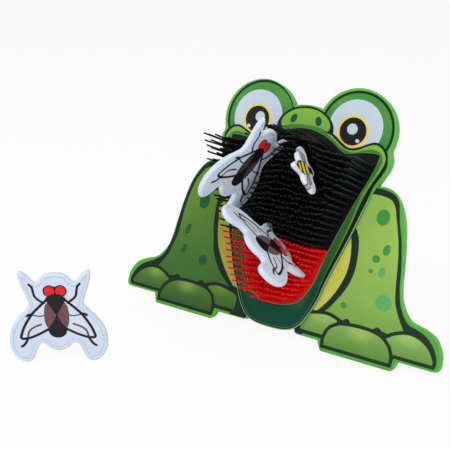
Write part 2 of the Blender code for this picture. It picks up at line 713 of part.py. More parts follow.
def build():
    """Make every piece of the game."""
    rear_paint = make_finish("rear_board_paint", (0.27, 0.50, 0.10), 0.35, 0)
    front_paint = make_finish("front_board_paint", (0.36, 0.62, 0.13), 0.35, 0)
    black_bristle = make_finish("black_bristle", (0.010, 0.010, 0.012), 0.45, 0)
    red_bristle = make_finish("red_bristle", (0.75, 0.012, 0.015), 0.45, 0)
    soft_white = make_finish("soft_white", (0.72, 0.80, 0.90), 0.80, 0)
    bare_board = make_finish("bare_board", (0.45, 0.30, 0.17), 0.70, 0)
    steel = make_finish("zinc_steel", (0.60, 0.60, 0.58), 0.35, 1)

    level = Matrix.Translation((0, 0, -BODY_THICKNESS / 2))
    body_mesh = curve_solid("body_board", [body_outline()], BODY_THICKNESS, BOARD_EDGE)
    body_board = add_part("body_board", body_mesh, rear_paint, BOARD, level)
    combine(body_board, GROUND, "DIFFERENCE")

    head_mesh = curve_solid("head_board", [head_outline(), MOUTH], HEAD_THICKNESS, BOARD_EDGE)
    level = Matrix.Translation((0, 0, HEAD_BACK + HEAD_THICKNESS / 2))
    head_board = add_part("head_board", head_mesh, front_paint, BOARD, level)

    holes = screw_set("board_screw", board_screw_places(), BOARD_SCREW_LENGTH, BOARD, steel)
    combine(body_board, holes, "DIFFERENCE")
    combine(head_board, holes, "DIFFERENCE")

    fly = outline_from(FLY_HALF_SHARES, FLY_WIDTH, SOFT_STEPS)
    bee = outline_from(BEE_HALF_SHARES, BEE_SPAN, SOFT_STEPS)
    settings = (
        ("upper_fly", fly, FLY_THICKNESS, UPPER_FLY_SHARE, UPPER_FLY_LIFT, UPPER_FLY_FACING, UPPER_FLY_TURN),
        ("lower_fly", fly, FLY_THICKNESS, LOWER_FLY_SHARE, LOWER_FLY_LIFT, LOWER_FLY_FACING, LOWER_FLY_TURN),
        ("bee", bee, BEE_THICKNESS, BEE_SHARE, BEE_LIFT, BEE_FACING, BEE_TURN),
    )
    stuck = []
    for name, outline, thickness, shares, lift, facing, turn in settings:
        place = insect_frame(shares, lift, facing, turn, outline)
        stuck.append((outline, thickness, place, facing))
        frame = add_frame(name + "_frame", BOARD, place)
        insect(name, outline, thickness, frame, soft_white)

    seam = SEAM_SHARE * FOOT_SPAN
    mat = grown(MOUTH, -MAT_CLEARANCE)
    upper = kept_side(mat, seam + SEAT_GAP / 2, 1)
    lower = kept_side(mat, seam - SEAT_GAP / 2, -1)
    bristle_mat("mouth_mat", upper, stuck, black_bristle)
    bristle_mat("tongue_mat", lower, stuck, red_bristle)

    lowest = min(point.y for point in fly)
    spot = Matrix.Translation((LOOSE_FLY_ACROSS, -LOOSE_FLY_FORWARD, -lowest))
    turn = Matrix.Rotation(math.pi / 2 + LOOSE_FLY_FACING, 4, "Z") @ Matrix.Rotation(math.pi / 2, 4, "X")
    frame = add_frame("loose_fly_frame", GAME, spot @ turn)
    insect("loose_fly", fly, FLY_THICKNESS, frame, soft_white)

    hinge_place = Matrix.Translation((0, HINGE_HEIGHT, -PIN_DEPTH))
    hinge_frame = add_frame("hinge_frame", BOARD, hinge_place)
    swing_frame = add_frame("swing_frame", hinge_frame, Matrix.Rotation(OPEN_ANGLE, 4, "X"))
    leg = stand_leg(hinge_place, swing_frame, bare_board)
    board_leaf = hinge_leaf("hinge_board_leaf", 0, 1, hinge_frame, steel)
    leg_leaf = hinge_leaf("hinge_leg_leaf", 1, -1, swing_frame, steel)
    hinge_pin(hinge_frame, steel)
    sets = (
        ("hinge_board_screw", 1, hinge_frame, board_leaf, body_board),
        ("hinge_leg_screw", -1, swing_frame, leg_leaf, leg),
    )
    for name, side, frame, leaf, wood in sets:
        holes = screw_set(name, hinge_screw_places(side), HINGE_SCREW_LENGTH, frame, steel)
        combine(leaf, holes, "DIFFERENCE")
        combine(wood, holes, "DIFFERENCE")


clear_scene()
PARTS = make_collection("frog_toss_game")
CUTTERS = make_collection("cutters")
MOUTH = askew(outline_from(MOUTH_HALF_SHARES, FOOT_SPAN, CURVE_STEPS))
BOARD_PLACE = Matrix.Translation((0, 0, TOE_DEPTH)) @ Matrix.Rotation(math.pi / 2 - LEAN_ANGLE, 4, "X")
GAME = add_frame("game_frame", None, Matrix())
BOARD = add_frame("board_frame", GAME, BOARD_PLACE)
GROUND = ground_tool()
build()
centre_on_origin()
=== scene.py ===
import math
import random

import bmesh
import bpy
import numpy as np
from mathutils import Matrix, Vector, noise
from mathutils.geometry import delaunay_2d_cdt


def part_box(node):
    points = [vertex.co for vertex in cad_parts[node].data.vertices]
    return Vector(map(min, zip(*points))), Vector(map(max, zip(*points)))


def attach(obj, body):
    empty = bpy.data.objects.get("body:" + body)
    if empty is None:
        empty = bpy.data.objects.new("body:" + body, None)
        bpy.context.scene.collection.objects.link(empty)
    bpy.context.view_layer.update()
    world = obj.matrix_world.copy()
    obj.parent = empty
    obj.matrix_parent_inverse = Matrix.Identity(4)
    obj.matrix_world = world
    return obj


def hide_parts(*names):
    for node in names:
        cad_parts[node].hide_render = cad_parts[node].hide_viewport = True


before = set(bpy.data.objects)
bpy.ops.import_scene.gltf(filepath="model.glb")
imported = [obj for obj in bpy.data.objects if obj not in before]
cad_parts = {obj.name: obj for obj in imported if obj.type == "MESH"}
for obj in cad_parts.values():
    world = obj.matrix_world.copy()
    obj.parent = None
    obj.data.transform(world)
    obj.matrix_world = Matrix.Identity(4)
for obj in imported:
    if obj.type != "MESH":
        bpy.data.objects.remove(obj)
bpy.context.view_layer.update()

# Sizes shared with the solids, in metres
FOOT_SPAN = 0.440
BODY_THICKNESS = 0.010
HEAD_THICKNESS = 0.0045
LEAN_ANGLE = math.radians(23.7)
TOE_DEPTH = 0.0016
SEAT_GAP = 0.0003
EYE_RADIUS = 0.0518
NOSE_RADIUS = 0.0704
NOSE_TOP_SHARE = 0.671
EYE_CENTRE_SHARE = (0.1537, 0.6168)
EYE_END_ANGLE = math.radians(-19)
MAT_BACKING = 0.004
MAT_CLEARANCE = 0.0004
SEAM_SHARE = 0.272
FLY_WIDTH = 0.1144
FLY_THICKNESS = 0.0092
BEE_SPAN = 0.060
BEE_THICKNESS = 0.0076
HINGE_HEIGHT = 0.185
HINGE_WIDTH = 0.050
LEAF_LENGTH = 0.024
HEAD_FACE = SEAT_GAP + HEAD_THICKNESS
MAT_FACE = SEAT_GAP + MAT_BACKING

ARRIS = 0.0012
ARRIS_STEPS = 4
BORE_SIDES = 20


def pairs(text):
    """Points written as x and y in ten-thousandths, with commas between points."""
    return [tuple(int(number) / 10000 for number in point.split()) for point in text.split(",")]


# Outlines as shares of the foot span, right halves from the top down
RIGHT_LEG_RUN = pairs("""2440 4740, 2790 4720, 3100 4490, 3370 3970, 3520 3330, 3620 2670, 3680 2200,
    3790 1800, 4090 1400, 4520 1270, 4850 1100, 5050 800, 5110 500, 5090 340, 5020 265, 4910 245""")
LEFT_LEG_RUN = pairs("""2490 4740, 2800 4740, 3180 4550, 3500 4010, 3660 3330, 3740 2670, 3790 2200,
    3880 1800, 4170 1410, 4530 1260, 4850 1090, 5060 800, 5120 500, 5100 340, 5030 265, 4910 245""")
TOES_RUN = (
    ((0.491, 0.0245), (0.400, 0.0250)),
    ((0.396, 0.018), (0.391, 0.003), (0.378, -0.016)),
    ((0.190, -0.016), (0.178, 0.001), (0.1715, 0.0125), (0.169, 0.020)),
)
RIGHT_NOTCH_RUN = (
    ((0.165, 0.0220), (0.103, 0.0225)),
    ((0.103, 0.0225), (0.095, 0.026), (0.092, 0.034)),
    ((0.088, 0.041), (0, 0.045)),
)
LEFT_NOTCH_RUN = (
    ((0.165, 0.0220), (0.072, 0.0225)),
    ((0.072, 0.0225), (0.064, 0.026), (0.061, 0.034)),
    ((0.057, 0.041), (0, 0.045)),
)
CHEEK_RUN = pairs("2650 5670, 2710 5500, 2695 5270, 2610 5060")
RIGHT_JAW_RUN = pairs("""2610 5060, 2475 4780, 2322 4400, 2160 3890, 1998 3350, 1865 2950, 1755 2620,
    1640 2300, 1455 1730, 1370 1400, 1215 1000, 995 585, 750 350, 450 240, 0 213""")
LEFT_JAW_RUN = pairs("""2610 5060, 2480 4780, 2325 4400, 2170 3890, 2035 3350, 1905 2750, 1790 2400,
    1660 2050, 1555 1730, 1400 1380, 1215 1000, 995 585, 750 350, 450 240, 0 213""")
MOUTH_RUN = pairs("""0 6015, 495 5935, 895 5740, 1195 5530, 1430 5460, 1910 5550, 2325 5560, 2360 5430,
    2255 5060, 1985 4390, 1725 3720, 1495 3060, 1290 2460, 1060 1660, 755 1160, 390 980, 0 930""")
TOE_LINE = 0.0098 * FOOT_SPAN
HEAD_SHIFT_SHARE = -0.0060
HEAD_MIDDLE_SHARE = 0.620
HEAD_SLANT_SHARE = 0.0406
HEAD_RISE_SHARE = 0.004
FLY_RUN = pairs("""0 4960, 760 4850, 1330 4510, 1840 3920, 2270 4180, 2800 4820, 3410 5190, 3620 4920,
    3450 3790, 3000 2500, 2760 1520, 3220 830, 4080 -80, 4740 -1210, 5020 -2420, 4920 -3560, 4380 -4550,
    3450 -5060, 2770 -4730, 2370 -3860, 2050 -3140, 1550 -2900, 910 -3480, 0 -3790""")
BEE_RUN = pairs("""0 4200, 900 3900, 1300 3000, 2100 2620, 3400 2850, 4600 2250, 5000 1200, 4550 200,
    3750 -450, 3200 -1450, 2300 -1850, 1600 -1900, 1250 -2700, 780 -4000, 450 -4750, 0 -4950""")

# Insects: place on the boards, lift over the mat, way the face looks, turn in its plane
UPPER_FLY = ((-0.0742, 0.4447), 0.0240, math.radians(-26.3), math.radians(-98.6))
LOWER_FLY = ((0.0443, 0.2468), 0.0190, math.radians(48.7), math.radians(181))
BEE = ((0.0944, 0.4678), 0.0460, math.radians(29.8), math.radians(180))
LOOSE_FLY_ACROSS = -0.1700
LOOSE_FLY_FORWARD = 0.1866
LOOSE_FLY_FACING = math.radians(-55)

# Screw places: on the boards in shares of the foot span, on the hinge in shares of its leaf
SCREW_SPOTS = ((-0.175, 0.590), (0.155, 0.590), (-0.035, 0.070), (0.060, 0.070))
LEAF_SPOTS = ((-0.36, 0.70), (0, 0.40), (0.36, 0.70))
# Bores as radius and depth from the back of a board
HEAD_SCREW_BORE = ((0.0031, 0), (0.0031, 0.0005), (0.0017, 0.0020), (0.0017, 0.0098))
LEAF_SCREW_BORE = ((0.0017, 0), (0.0017, 0.0068))
THREAD_BORE = ((0.0017, 0), (0.0017, 0.0032))

# Bristles
STRAND_PITCH = 0.0052
ROW_PITCH = 0.0072
STRAND_RADIUS = 0.00110
STRAND_SIDES = 8
STRAND_RINGS = 12
STRAND_MARGIN = 0.0014
ROW_START = 0.0004
ROOT_SINK = 0.0008
LENGTH_WANDER = 0.012
ROOT_WANDER = 0.0005
LEAN_WANDER = 0.011
TOP_MARGIN = 0.0078
SPLAY = 0.0105
SPLAY_REACH = 0.014
RIGHT_SPLAY_SHARE = 0.2
REACH_LOW = 0.034
REACH_HIGH = 0.079
PARTING_REACH = 0.032
PARTING_FADE = 0.012
DROOP = 0.0004
CLEARING = {"upper_fly": 0.006, "lower_fly": 0.0, "bee": 0.007}

MILLIMETRE = 1000.0
FINE = 6
CAP_ANGLES = (0.5, 1.05, 1.57, 2.1, 2.64)


def spline(before, start, end, after, steps):
    """Points of a smooth curve from a start up to an end, shaped by both their neighbours."""
    result = []
    for step in range(steps):
        t = step / steps
        bend = 2 * before - 5 * start + 4 * end - after
        twist = 3 * start - before - 3 * end + after
        result.append(start + (t * (end - before) + t * t * bend + t ** 3 * twist) / 2)
    return result


def scaled(shares, size=FOOT_SPAN):
    """Points in metres from shares of a size."""
    return [Vector(pair) * size for pair in shares]


def path(shares, size=FOOT_SPAN):
    """A smooth open curve through points. An end on the middle line crosses it squarely."""
    def neighbour(end, inner):
        return Vector((-inner.x, inner.y)) if end.x == 0 else end
    points = scaled(shares, size)
    padded = [neighbour(points[0], points[1]), *points, neighbour(points[-1], points[-2])]
    result = []
    for index in range(1, len(padded) - 2):
        result += spline(*padded[index - 1:index + 3], FINE)
    return result + [points[-1]]


def smooth_loop(shares, size=FOOT_SPAN):
    """A closed smooth curve through points given as shares of a size."""
    points = scaled(shares, size)
    around = [points[-1], *points, points[0], points[1]]
    result = []
    for index in range(len(points)):
        result += spline(*around[index:index + 4], FINE)
    return result


def joined(runs, size=FOOT_SPAN, apart=2e-6):
    """Runs drawn one after the other, smooth where they have more than two points."""
    result = []
    for run in runs:
        for point in path(run, size) if len(run) > 2 else scaled(run, size):
            if not result or (point - result[-1]).length > apart:
                result.append(point)
    return result


def corners(*runs, size=FOOT_SPAN):
    """A closed outline of smooth runs that meet in corners."""
    result = joined(runs, size, 1e-6)
    if (result[0] - result[-1]).length < 1e-6:
        result.pop()
    return result


def ellipse(centre, radii, tilt=0.0, size=FOOT_SPAN, steps=36):
    """A tilted ellipse, in shares of a size."""
    turn = Matrix.Rotation(math.radians(tilt), 2)
    middle = Vector(centre)
    result = []
    for step in range(steps):
        angle = math.tau * step / steps
        spot = Vector((radii[0] * math.cos(angle), radii[1] * math.sin(angle)))
        result.append((middle + turn @ spot) * size)
    return result


def stroke(shares, width, size):
    """A brush stroke of a width along a smooth path, with round ends."""
    line = path(shares, size)
    last = len(line) - 1
    half = width * size / 2
    left, right = [], []
    for index, point in enumerate(line):
        way = (line[min(index + 1, last)] - line[max(index - 1, 0)]).normalized()
        side = Vector((-way.y, way.x))
        left.append(point + side * half)
        right.append(point - side * half)

    def cap(end, inner):
        way = (end - inner).normalized()
        side = Vector((-way.y, way.x))
        return [end + half * (side * math.cos(a) + way * math.sin(a)) for a in CAP_ANGLES]
    return left + cap(line[-1], line[-2]) + right[::-1] + cap(line[0], line[1])


def mirrored(outline):
    """The same outline on the other side of the middle line."""
    return [Vector((-point.x, point.y)) for point in reversed(outline)]


def closed(right_half, left_half=None):
    """A closed outline from two halves, both drawn on the right, or from one half twice."""
    return right_half + mirrored((left_half or right_half)[1:-1])


def arc(centre, radius, start, end, steps):
    """Points along an arc, ends included."""
    angles = [start + (end - start) * step / steps for step in range(steps + 1)]
    return [centre + radius * Vector((math.cos(angle), math.sin(angle))) for angle in angles]


def circles_meet(centre_a, radius_a, centre_b, radius_b):
    """The upper point where two circles cross."""
    apart = centre_b - centre_a
    along = (apart.length_squared + radius_a ** 2 - radius_b ** 2) / (2 * apart.length)
    aside = math.sqrt(radius_a ** 2 - along ** 2)
    unit = apart.normalized()
    across = Vector((-unit.y, unit.x))
    return max((centre_a + unit * along + across * side for side in (aside, -aside)), key=lambda p: p.y)


def askew(outline):
    """Points of the head, drawn upright, where they sit on the body."""
    middle = HEAD_MIDDLE_SHARE * FOOT_SPAN
    result = []
    for point in outline:
        across = HEAD_SHIFT_SHARE * FOOT_SPAN + HEAD_SLANT_SHARE * (middle - point.y)
        result.append(Vector((point.x + across, point.y + HEAD_RISE_SHARE * point.x)))
    return result


def crown_half():
    """Right half of the head from the top of the nose dome round the eye."""
    eye = Vector(EYE_CENTRE_SHARE) * FOOT_SPAN
    nose = Vector((0, NOSE_TOP_SHARE * FOOT_SPAN - NOSE_RADIUS))
    meet = circles_meet(nose, NOSE_RADIUS, eye, EYE_RADIUS)
    nose_end = math.atan2(meet.y - nose.y, meet.x - nose.x)
    eye_start = math.atan2(meet.y - eye.y, meet.x - eye.x)
    half = arc(nose, NOSE_RADIUS, math.pi / 2, nose_end, 12)
    return half + arc(eye, EYE_RADIUS, eye_start, EYE_END_ANGLE, 64)[1:]


def head_outline():
    """Front board: nose dome, eyes, cheeks and jaw."""
    halves = [crown_half() + joined([CHEEK_RUN[:-1] + jaw]) for jaw in (RIGHT_JAW_RUN, LEFT_JAW_RUN)]
    return askew(closed(*halves))


def body_outline():
    """Rear board: the head's outline down to the cheeks, then legs and toes."""
    crown = crown_half() + joined([CHEEK_RUN])
    other = [Vector((-point.x, point.y)) for point in crown]
    left_crown = [Vector((-point.x, point.y)) for point in askew(other)]
    right_leg = joined([RIGHT_LEG_RUN, *TOES_RUN, *RIGHT_NOTCH_RUN])
    left_leg = joined([LEFT_LEG_RUN, *TOES_RUN, *LEFT_NOTCH_RUN])
    return closed(askew(crown) + right_leg, left_crown + left_leg)


def grown(outline, distance):
    """A clockwise outline moved outwards; less than zero moves it in."""
    result = []
    count = len(outline)
    for index, point in enumerate(outline):
        coming = (point - outline[index - 1]).normalized()
        going = (outline[(index + 1) % count] - point).normalized()
        side_a = Vector((-coming.y, coming.x))
        side_b = Vector((-going.y, going.x))
        result.append(point + distance * (side_a + side_b) / (1 + side_a.dot(side_b)))
    return result


def moved_clear(outline, distance):
    """An outline moved in or out, without the points that tight corners fold over."""
    line = grown(outline, distance)
    gaps = distances(line, outline)
    return [point for point, gap in zip(line, gaps) if gap > 0.97 * abs(distance)]


def is_inside(point, outline):
    """Whether a point lies in a closed outline."""
    inside = False
    for index, corner in enumerate(outline):
        last = outline[index - 1]
        if (corner.y > point.y) != (last.y > point.y):
            crossing = last.lerp(corner, (point.y - last.y) / (corner.y - last.y))
            inside = inside != (crossing.x > point.x)
    return inside


def kept_side(outline, level, sign):
    """The part of an outline above a level, or below it where the sign is -1."""
    result = []
    for index, point in enumerate(outline):
        last = outline[index - 1]
        if (last.y - level) * (point.y - level) < 0:
            result.append(last.lerp(point, (level - last.y) / (point.y - last.y)))
        if (point.y - level) * sign > 0:
            result.append(point)
    return result


# ---- materials

def colour(red, green, blue):
    """Linear colour from the usual 0 to 255 values."""
    def linear(value):
        share = value / 255
        return share / 12.92 if share <= 0.04045 else ((share + 0.055) / 1.055) ** 2.4
    return (linear(red), linear(green), linear(blue), 1)


def feed(tree, socket, value):
    """A socket linked to another one, or set to a value."""
    if isinstance(value, bpy.types.NodeSocket):
        tree.links.new(value, socket)
    else:
        socket.default_value = value


def add_node(tree, kind, **inputs):
    """A node with its named inputs linked or set."""
    made = tree.nodes.new("ShaderNode" + kind)
    for name, value in inputs.items():
        feed(tree, made.inputs[name.replace("_", " ")], value)
    return made


def calculate(tree, operation, first, second):
    """A Math node's result."""
    made = tree.nodes.new("ShaderNodeMath")
    made.operation = operation
    feed(tree, made.inputs[0], first)
    feed(tree, made.inputs[1], second)
    return made.outputs[0]


def mapped(tree, value, low, high, to_low, to_high, smooth=False):
    """A value moved from one range to another."""
    made = tree.nodes.new("ShaderNodeMapRange")
    made.interpolation_type = "SMOOTHSTEP" if smooth else "LINEAR"
    tree.links.new(value, made.inputs[0])
    for socket, number in zip(list(made.inputs)[1:5], (low, high, to_low, to_high)):
        socket.default_value = number
    return made.outputs[0]


def blended(tree, share, first, second):
    """Two colours mixed."""
    made = tree.nodes.new("ShaderNodeMix")
    made.data_type = "RGBA"
    for number, value in ((0, share), (6, first), (7, second)):
        feed(tree, made.inputs[number], value)
    return made.outputs[2]


def mixed_shader(tree, share, first, second):
    """Two shaders mixed."""
    made = tree.nodes.new("ShaderNodeMixShader")
    for socket, value in zip(made.inputs, (share, first.outputs[0], second.outputs[0])):
        tree.links.new(value, socket)
    return made.outputs[0]


def scaled_place(tree, place, scale):
    """Coordinates scaled along each axis, which stretches a pattern."""
    return add_node(tree, "Mapping", Vector=place, Scale=scale).outputs["Vector"]


def new_material(name, roughness, specular):
    """A Principled material and its tree, shader and object coordinates."""
    made = bpy.data.materials.new(name)
    made.use_nodes = True
    tree = made.node_tree
    shader = tree.nodes["Principled BSDF"]
    shader.inputs["Roughness"].default_value = roughness
    shader.inputs["Specular IOR Level"].default_value = specular
    place = tree.nodes.new("ShaderNodeTexCoord").outputs["Object"]
    return made, tree, shader, place


def fractal(tree, place, scale, detail=3.0, rough=0.55):
    """A noise value."""
    made = add_node(tree, "TexNoise", Vector=place, Scale=scale, Detail=detail, Roughness=rough)
    return made.outputs["Fac"]


def dressed(tree, shader, tone, dull, height, strength, distance):
    """A shader's colour, roughness and bump."""
    tree.links.new(tone, shader.inputs["Base Color"])
    tree.links.new(dull, shader.inputs["Roughness"])
    bump = add_node(tree, "Bump", Height=height, Strength=strength, Distance=distance)
    tree.links.new(bump.outputs["Normal"], shader.inputs["Normal"])


def shaded(tree, value, tint):
    """A colour made lighter or darker."""
    return add_node(tree, "HueSaturation", Value=value, Color=tint).outputs[0]


def ramp(tree, value, stops):
    """A colour ramp."""
    made = tree.nodes.new("ShaderNodeValToRGB")
    tree.links.new(value, made.inputs[0])
    line = made.color_ramp
    while len(line.elements) < len(stops):
        line.elements.new(0.5)
    for element, (position, tint) in zip(line.elements, stops):
        element.position = position
        element.color = colour(*tint)
    return made.outputs["Color"]


def print_ink(name, stops, along=(0, 1), span=(0, 0.66), glow=()):
    """Printed lacquer. Its colour runs through stops along a way on the board, in shares of
    the foot span, and a glow is (centre, radii, tint, strength)."""
    roughness = 0.42
    made, tree, shader, place = new_material(name, roughness, 0.10)
    way = Vector(along).normalized()
    dot = tree.nodes.new("ShaderNodeVectorMath")
    dot.operation = "DOT_PRODUCT"
    tree.links.new(place, dot.inputs[0])
    dot.inputs[1].default_value = (way.x / FOOT_SPAN, way.y / FOOT_SPAN, 0)
    run = mapped(tree, dot.outputs["Value"], span[0], span[1], 0, 1)
    tint = ramp(tree, run, stops)
    for centre, radii, glow_tint, strength in glow:
        shifted = tree.nodes.new("ShaderNodeMapping")
        shifted.vector_type = "TEXTURE"
        tree.links.new(place, shifted.inputs["Vector"])
        shifted.inputs["Location"].default_value = (centre[0] * FOOT_SPAN, centre[1] * FOOT_SPAN, HEAD_FACE)
        shifted.inputs["Scale"].default_value = (radii[0] * FOOT_SPAN, radii[1] * FOOT_SPAN, 1)
        length = tree.nodes.new("ShaderNodeVectorMath")
        length.operation = "LENGTH"
        tree.links.new(shifted.outputs["Vector"], length.inputs[0])
        share = mapped(tree, length.outputs["Value"], 0, 1, strength, 0, smooth=True)
        tint = blended(tree, share, tint, colour(*glow_tint))
    cloud = fractal(tree, place, 38, 4)
    fleck = fractal(tree, place, 900, 2)
    broad = mapped(tree, cloud, 0.3, 0.7, 0.965, 1.035)
    value = calculate(tree, "ADD", broad, mapped(tree, fleck, 0.3, 0.7, -0.015, 0.015))
    dull = mapped(tree, cloud, 0.3, 0.7, roughness - 0.05, roughness + 0.07)
    grain = fractal(tree, place, 420, 2)
    dressed(tree, shader, shaded(tree, value, tint), dull, grain, 0.10, 0.0002)
    return made


def edge_paint(name, tint, dark, low=None):
    """Sprayed paint over a sawn board edge. A low tint, where given, is blended in low on the head as
    painted light: painted shade on the head's sides, a painted highlight on its arris.
    """
    made, tree, shader, place = new_material(name, 0.46, 0.18)
    cloud = fractal(tree, place, 60, 4)
    tone = blended(tree, mapped(tree, cloud, 0.35, 0.75, 0, 0.35), colour(*tint), colour(*dark))
    if low is not None:
        # Painted light low on the head: below the cheeks the low tint takes over.
        height = add_node(tree, "SeparateXYZ", Vector=place).outputs["Y"]
        share = mapped(tree, height, 0.36 * FOOT_SPAN, 0.50 * FOOT_SPAN, 1, 0, smooth=True)
        tone = blended(tree, share, tone, colour(*low))
    dull = mapped(tree, cloud, 0.3, 0.7, 0.36, 0.52)
    dressed(tree, shader, tone, dull, fractal(tree, place, 650, 3), 0.18, 0.0003)
    return made


def bristle_plastic(name, tint, pale):
    """Extruded nylon with drawn streaks and patches of a paler tone."""
    made, tree, shader, place = new_material(name, 0.48, 0.12)
    fine = fractal(tree, scaled_place(tree, place, (1, 1, 0.08)), 900, 3)
    broad = fractal(tree, place, 70, 3)
    tone = blended(tree, mapped(tree, broad, 0.35, 0.7, 0, 0.55), colour(*tint), colour(*pale))
    value = mapped(tree, fine, 0.3, 0.7, 0.85, 1.15)
    dull = mapped(tree, fine, 0.3, 0.7, 0.30, 0.46)
    dressed(tree, shader, shaded(tree, value, tone), dull, fine, 0.25, 0.0002)
    return made


def soft_fabric(name, tint, roughness=0.62, sheen=0.25):
    """Fine satin weave over foam."""
    made, tree, shader, place = new_material(name, roughness, 0.22)
    shader.inputs["Sheen Weight"].default_value = sheen
    shader.inputs["Sheen Roughness"].default_value = 0.45
    threads = []
    for turn in (0, math.pi / 2):
        turned = add_node(tree, "Mapping", Vector=place, Rotation=(0, 0, turn)).outputs["Vector"]
        wave = add_node(tree, "TexWave", Vector=turned, Scale=620.0, Distortion=1.2, Detail=1.0)
        threads.append(wave.outputs["Fac"])
    cloth = calculate(tree, "MULTIPLY", *threads)
    cloud = fractal(tree, place, 55, 4)
    broad = mapped(tree, cloud, 0.3, 0.7, 0.965, 1.015)
    value = calculate(tree, "ADD", broad, mapped(tree, cloth, 0, 1, -0.02, 0.012))
    dull = mapped(tree, cloth, 0, 1, roughness - 0.08, roughness + 0.06)
    height = calculate(tree, "ADD", cloth, calculate(tree, "MULTIPLY", cloud, 2.0))
    dressed(tree, shader, shaded(tree, value, colour(*tint)), dull, height, 0.30, 0.0003)
    return made


def fibreboard(name):
    """Pressed fibreboard under a thin clear coat."""
    made, tree, shader, place = new_material(name, 0.58, 0.30)
    fibres = fractal(tree, scaled_place(tree, place, (1.0, 0.35, 0.35)), 520, 6, 0.7)
    cloud = fractal(tree, place, 26, 4)
    tone = ramp(tree, fibres, ((0.30, (128, 92, 58)), (0.52, (176, 134, 90)), (0.72, (203, 165, 118))))
    tone = blended(tree, mapped(tree, cloud, 0.35, 0.7, 0, 0.35), tone, colour(150, 108, 70))
    dressed(tree, shader, tone, mapped(tree, fibres, 0.3, 0.7, 0.48, 0.70), fibres, 0.30, 0.0004)
    return made


def zinc(name):
    """Zinc-plated steel with rolled scratches."""
    roughness = 0.34
    made, tree, shader, place = new_material(name, roughness, 0.5)
    shader.inputs["Metallic"].default_value = 1
    scratch = fractal(tree, scaled_place(tree, place, (0.06, 1, 1)), 2200, 3)
    cloud = fractal(tree, place, 120, 4)
    tone = ramp(tree, cloud, ((0.30, (150, 152, 156)), (0.55, (186, 188, 190)), (0.75, (205, 203, 196))))
    dull = mapped(tree, scratch, 0.3, 0.7, roughness - 0.08, roughness + 0.12)
    dressed(tree, shader, tone, dull, scratch, 0.15, 0.0001)
    return made


# ---- meshes

def winding(points, outline):
    """How often a closed outline runs round each point, as an array."""
    x, y = points[:, 0], points[:, 1]
    a = np.array([tuple(corner) for corner in outline])
    b = np.roll(a, -1, axis=0)
    turns = np.zeros(len(points), int)
    for (ax, ay), (bx, by) in zip(a, b):
        side = (bx - ax) * (y - ay) - (x - ax) * (by - ay)
        turns += (ay <= y) & (by > y) & (side > 0)
        turns -= (ay > y) & (by <= y) & (side < 0)
    return turns


def flat_regions(polygons, loose=()):
    """Triangles of overlapping polygons, in metres. Each triangle has the number of the
    topmost polygon over it, or -1, and whether it lies in the first one."""
    points, edges = [], []
    for polygon in polygons:
        first, count = len(points), len(polygon)
        edges += [(first + index, first + (index + 1) % count) for index in range(count)]
        points += [Vector(point) * MILLIMETRE for point in polygon]
    points += [Vector(point) * MILLIMETRE for point in loose]
    made = delaunay_2d_cdt(points, edges, [], 0, 1e-5)
    places = [point / MILLIMETRE for point in made[0]]
    flat = np.array([tuple(place) for place in places])
    triangles = [tuple(face) for face in made[2]]
    middles = flat[np.array(triangles)].mean(axis=1)
    top = np.full(len(triangles), -1)
    for number, polygon in enumerate(polygons):
        top[winding(middles, polygon) != 0] = number
    base = winding(middles, polygons[0]) != 0
    return places, triangles, top, base, made[3]


def rim_loops(work):
    """Ordered open rims, as lists of vertices with their outward directions."""
    following = {}
    for edge in work.edges:
        if edge.is_boundary:
            loop = edge.link_loops[0]
            following[loop.vert] = loop.link_loop_next.vert
    loops = []
    while following:
        start = min(following, key=lambda vert: vert.index)
        ring = [start]
        vert = following.pop(start)
        while vert is not start:
            ring.append(vert)
            vert = following.pop(vert)
        count = len(ring)
        ways = []
        for index, vert in enumerate(ring):
            coming = (vert.co.xy - ring[index - 1].co.xy).normalized()
            going = (ring[(index + 1) % count].co.xy - vert.co.xy).normalized()
            side_a = Vector((coming.y, -coming.x))
            side_b = Vector((going.y, -going.x))
            ways.append((side_a + side_b) / max(1 + side_a.dot(side_b), 0.5))
        loops.append((ring, ways))
    return loops


def round_points(centre, radius):
    """Points round a bore, in its plane."""
    angles = [math.tau * k / BORE_SIDES for k in range(BORE_SIDES)]
    return [Vector(centre) + radius * Vector((math.cos(a), math.sin(a))) for a in angles]


def edge_profile(thickness):
    """A board's side as (out, depth) pairs from its front: two rounded arrises."""
    front, back = [], []
    for step in range(ARRIS_STEPS + 1):
        angle = math.pi / 2 * step / ARRIS_STEPS
        front.append((ARRIS * math.sin(angle), ARRIS * (1 - math.cos(angle))))
        back.append((ARRIS * math.cos(angle), thickness - ARRIS * (1 - math.sin(angle))))
    return front[1:] + back


def neighbours(ring):
    """Each vertex of a ring with the next one."""
    return list(zip(ring, ring[1:] + ring[:1]))


def cut_at_table(work, middle, normal):
    """What lies under the table is cut off a mesh and the cut is closed."""
    geometry = list(work.verts) + list(work.edges) + list(work.faces)
    bmesh.ops.bisect_plane(
        work, geom=geometry, dist=1e-7, plane_co=middle, plane_no=normal, clear_inner=True)
    rim = [item for item in work.edges if item.is_boundary]
    bmesh.ops.triangle_fill(work, use_beauty=True, edges=rim)


def finished_board(name, work, sharp, finishes):
    """A board's mesh, smooth but for the edges given and those over 35 degrees."""
    mesh = bpy.data.meshes.new(name)
    for item in work.faces:
        item.smooth = True
    alive = set(work.verts)
    for pair in sharp:
        edge = work.edges.get(pair) if alive.issuperset(pair) else None
        if edge is not None:
            edge.smooth = False
    work.to_mesh(mesh)
    work.free()
    for finish in finishes:
        mesh.materials.append(finish)
    keep = [edge.use_edge_sharp for edge in mesh.edges]
    mesh.set_sharp_from_angle(angle=math.radians(35))
    for item, was in zip(mesh.edges, keep):
        if was:
            item.use_edge_sharp = True
    return mesh


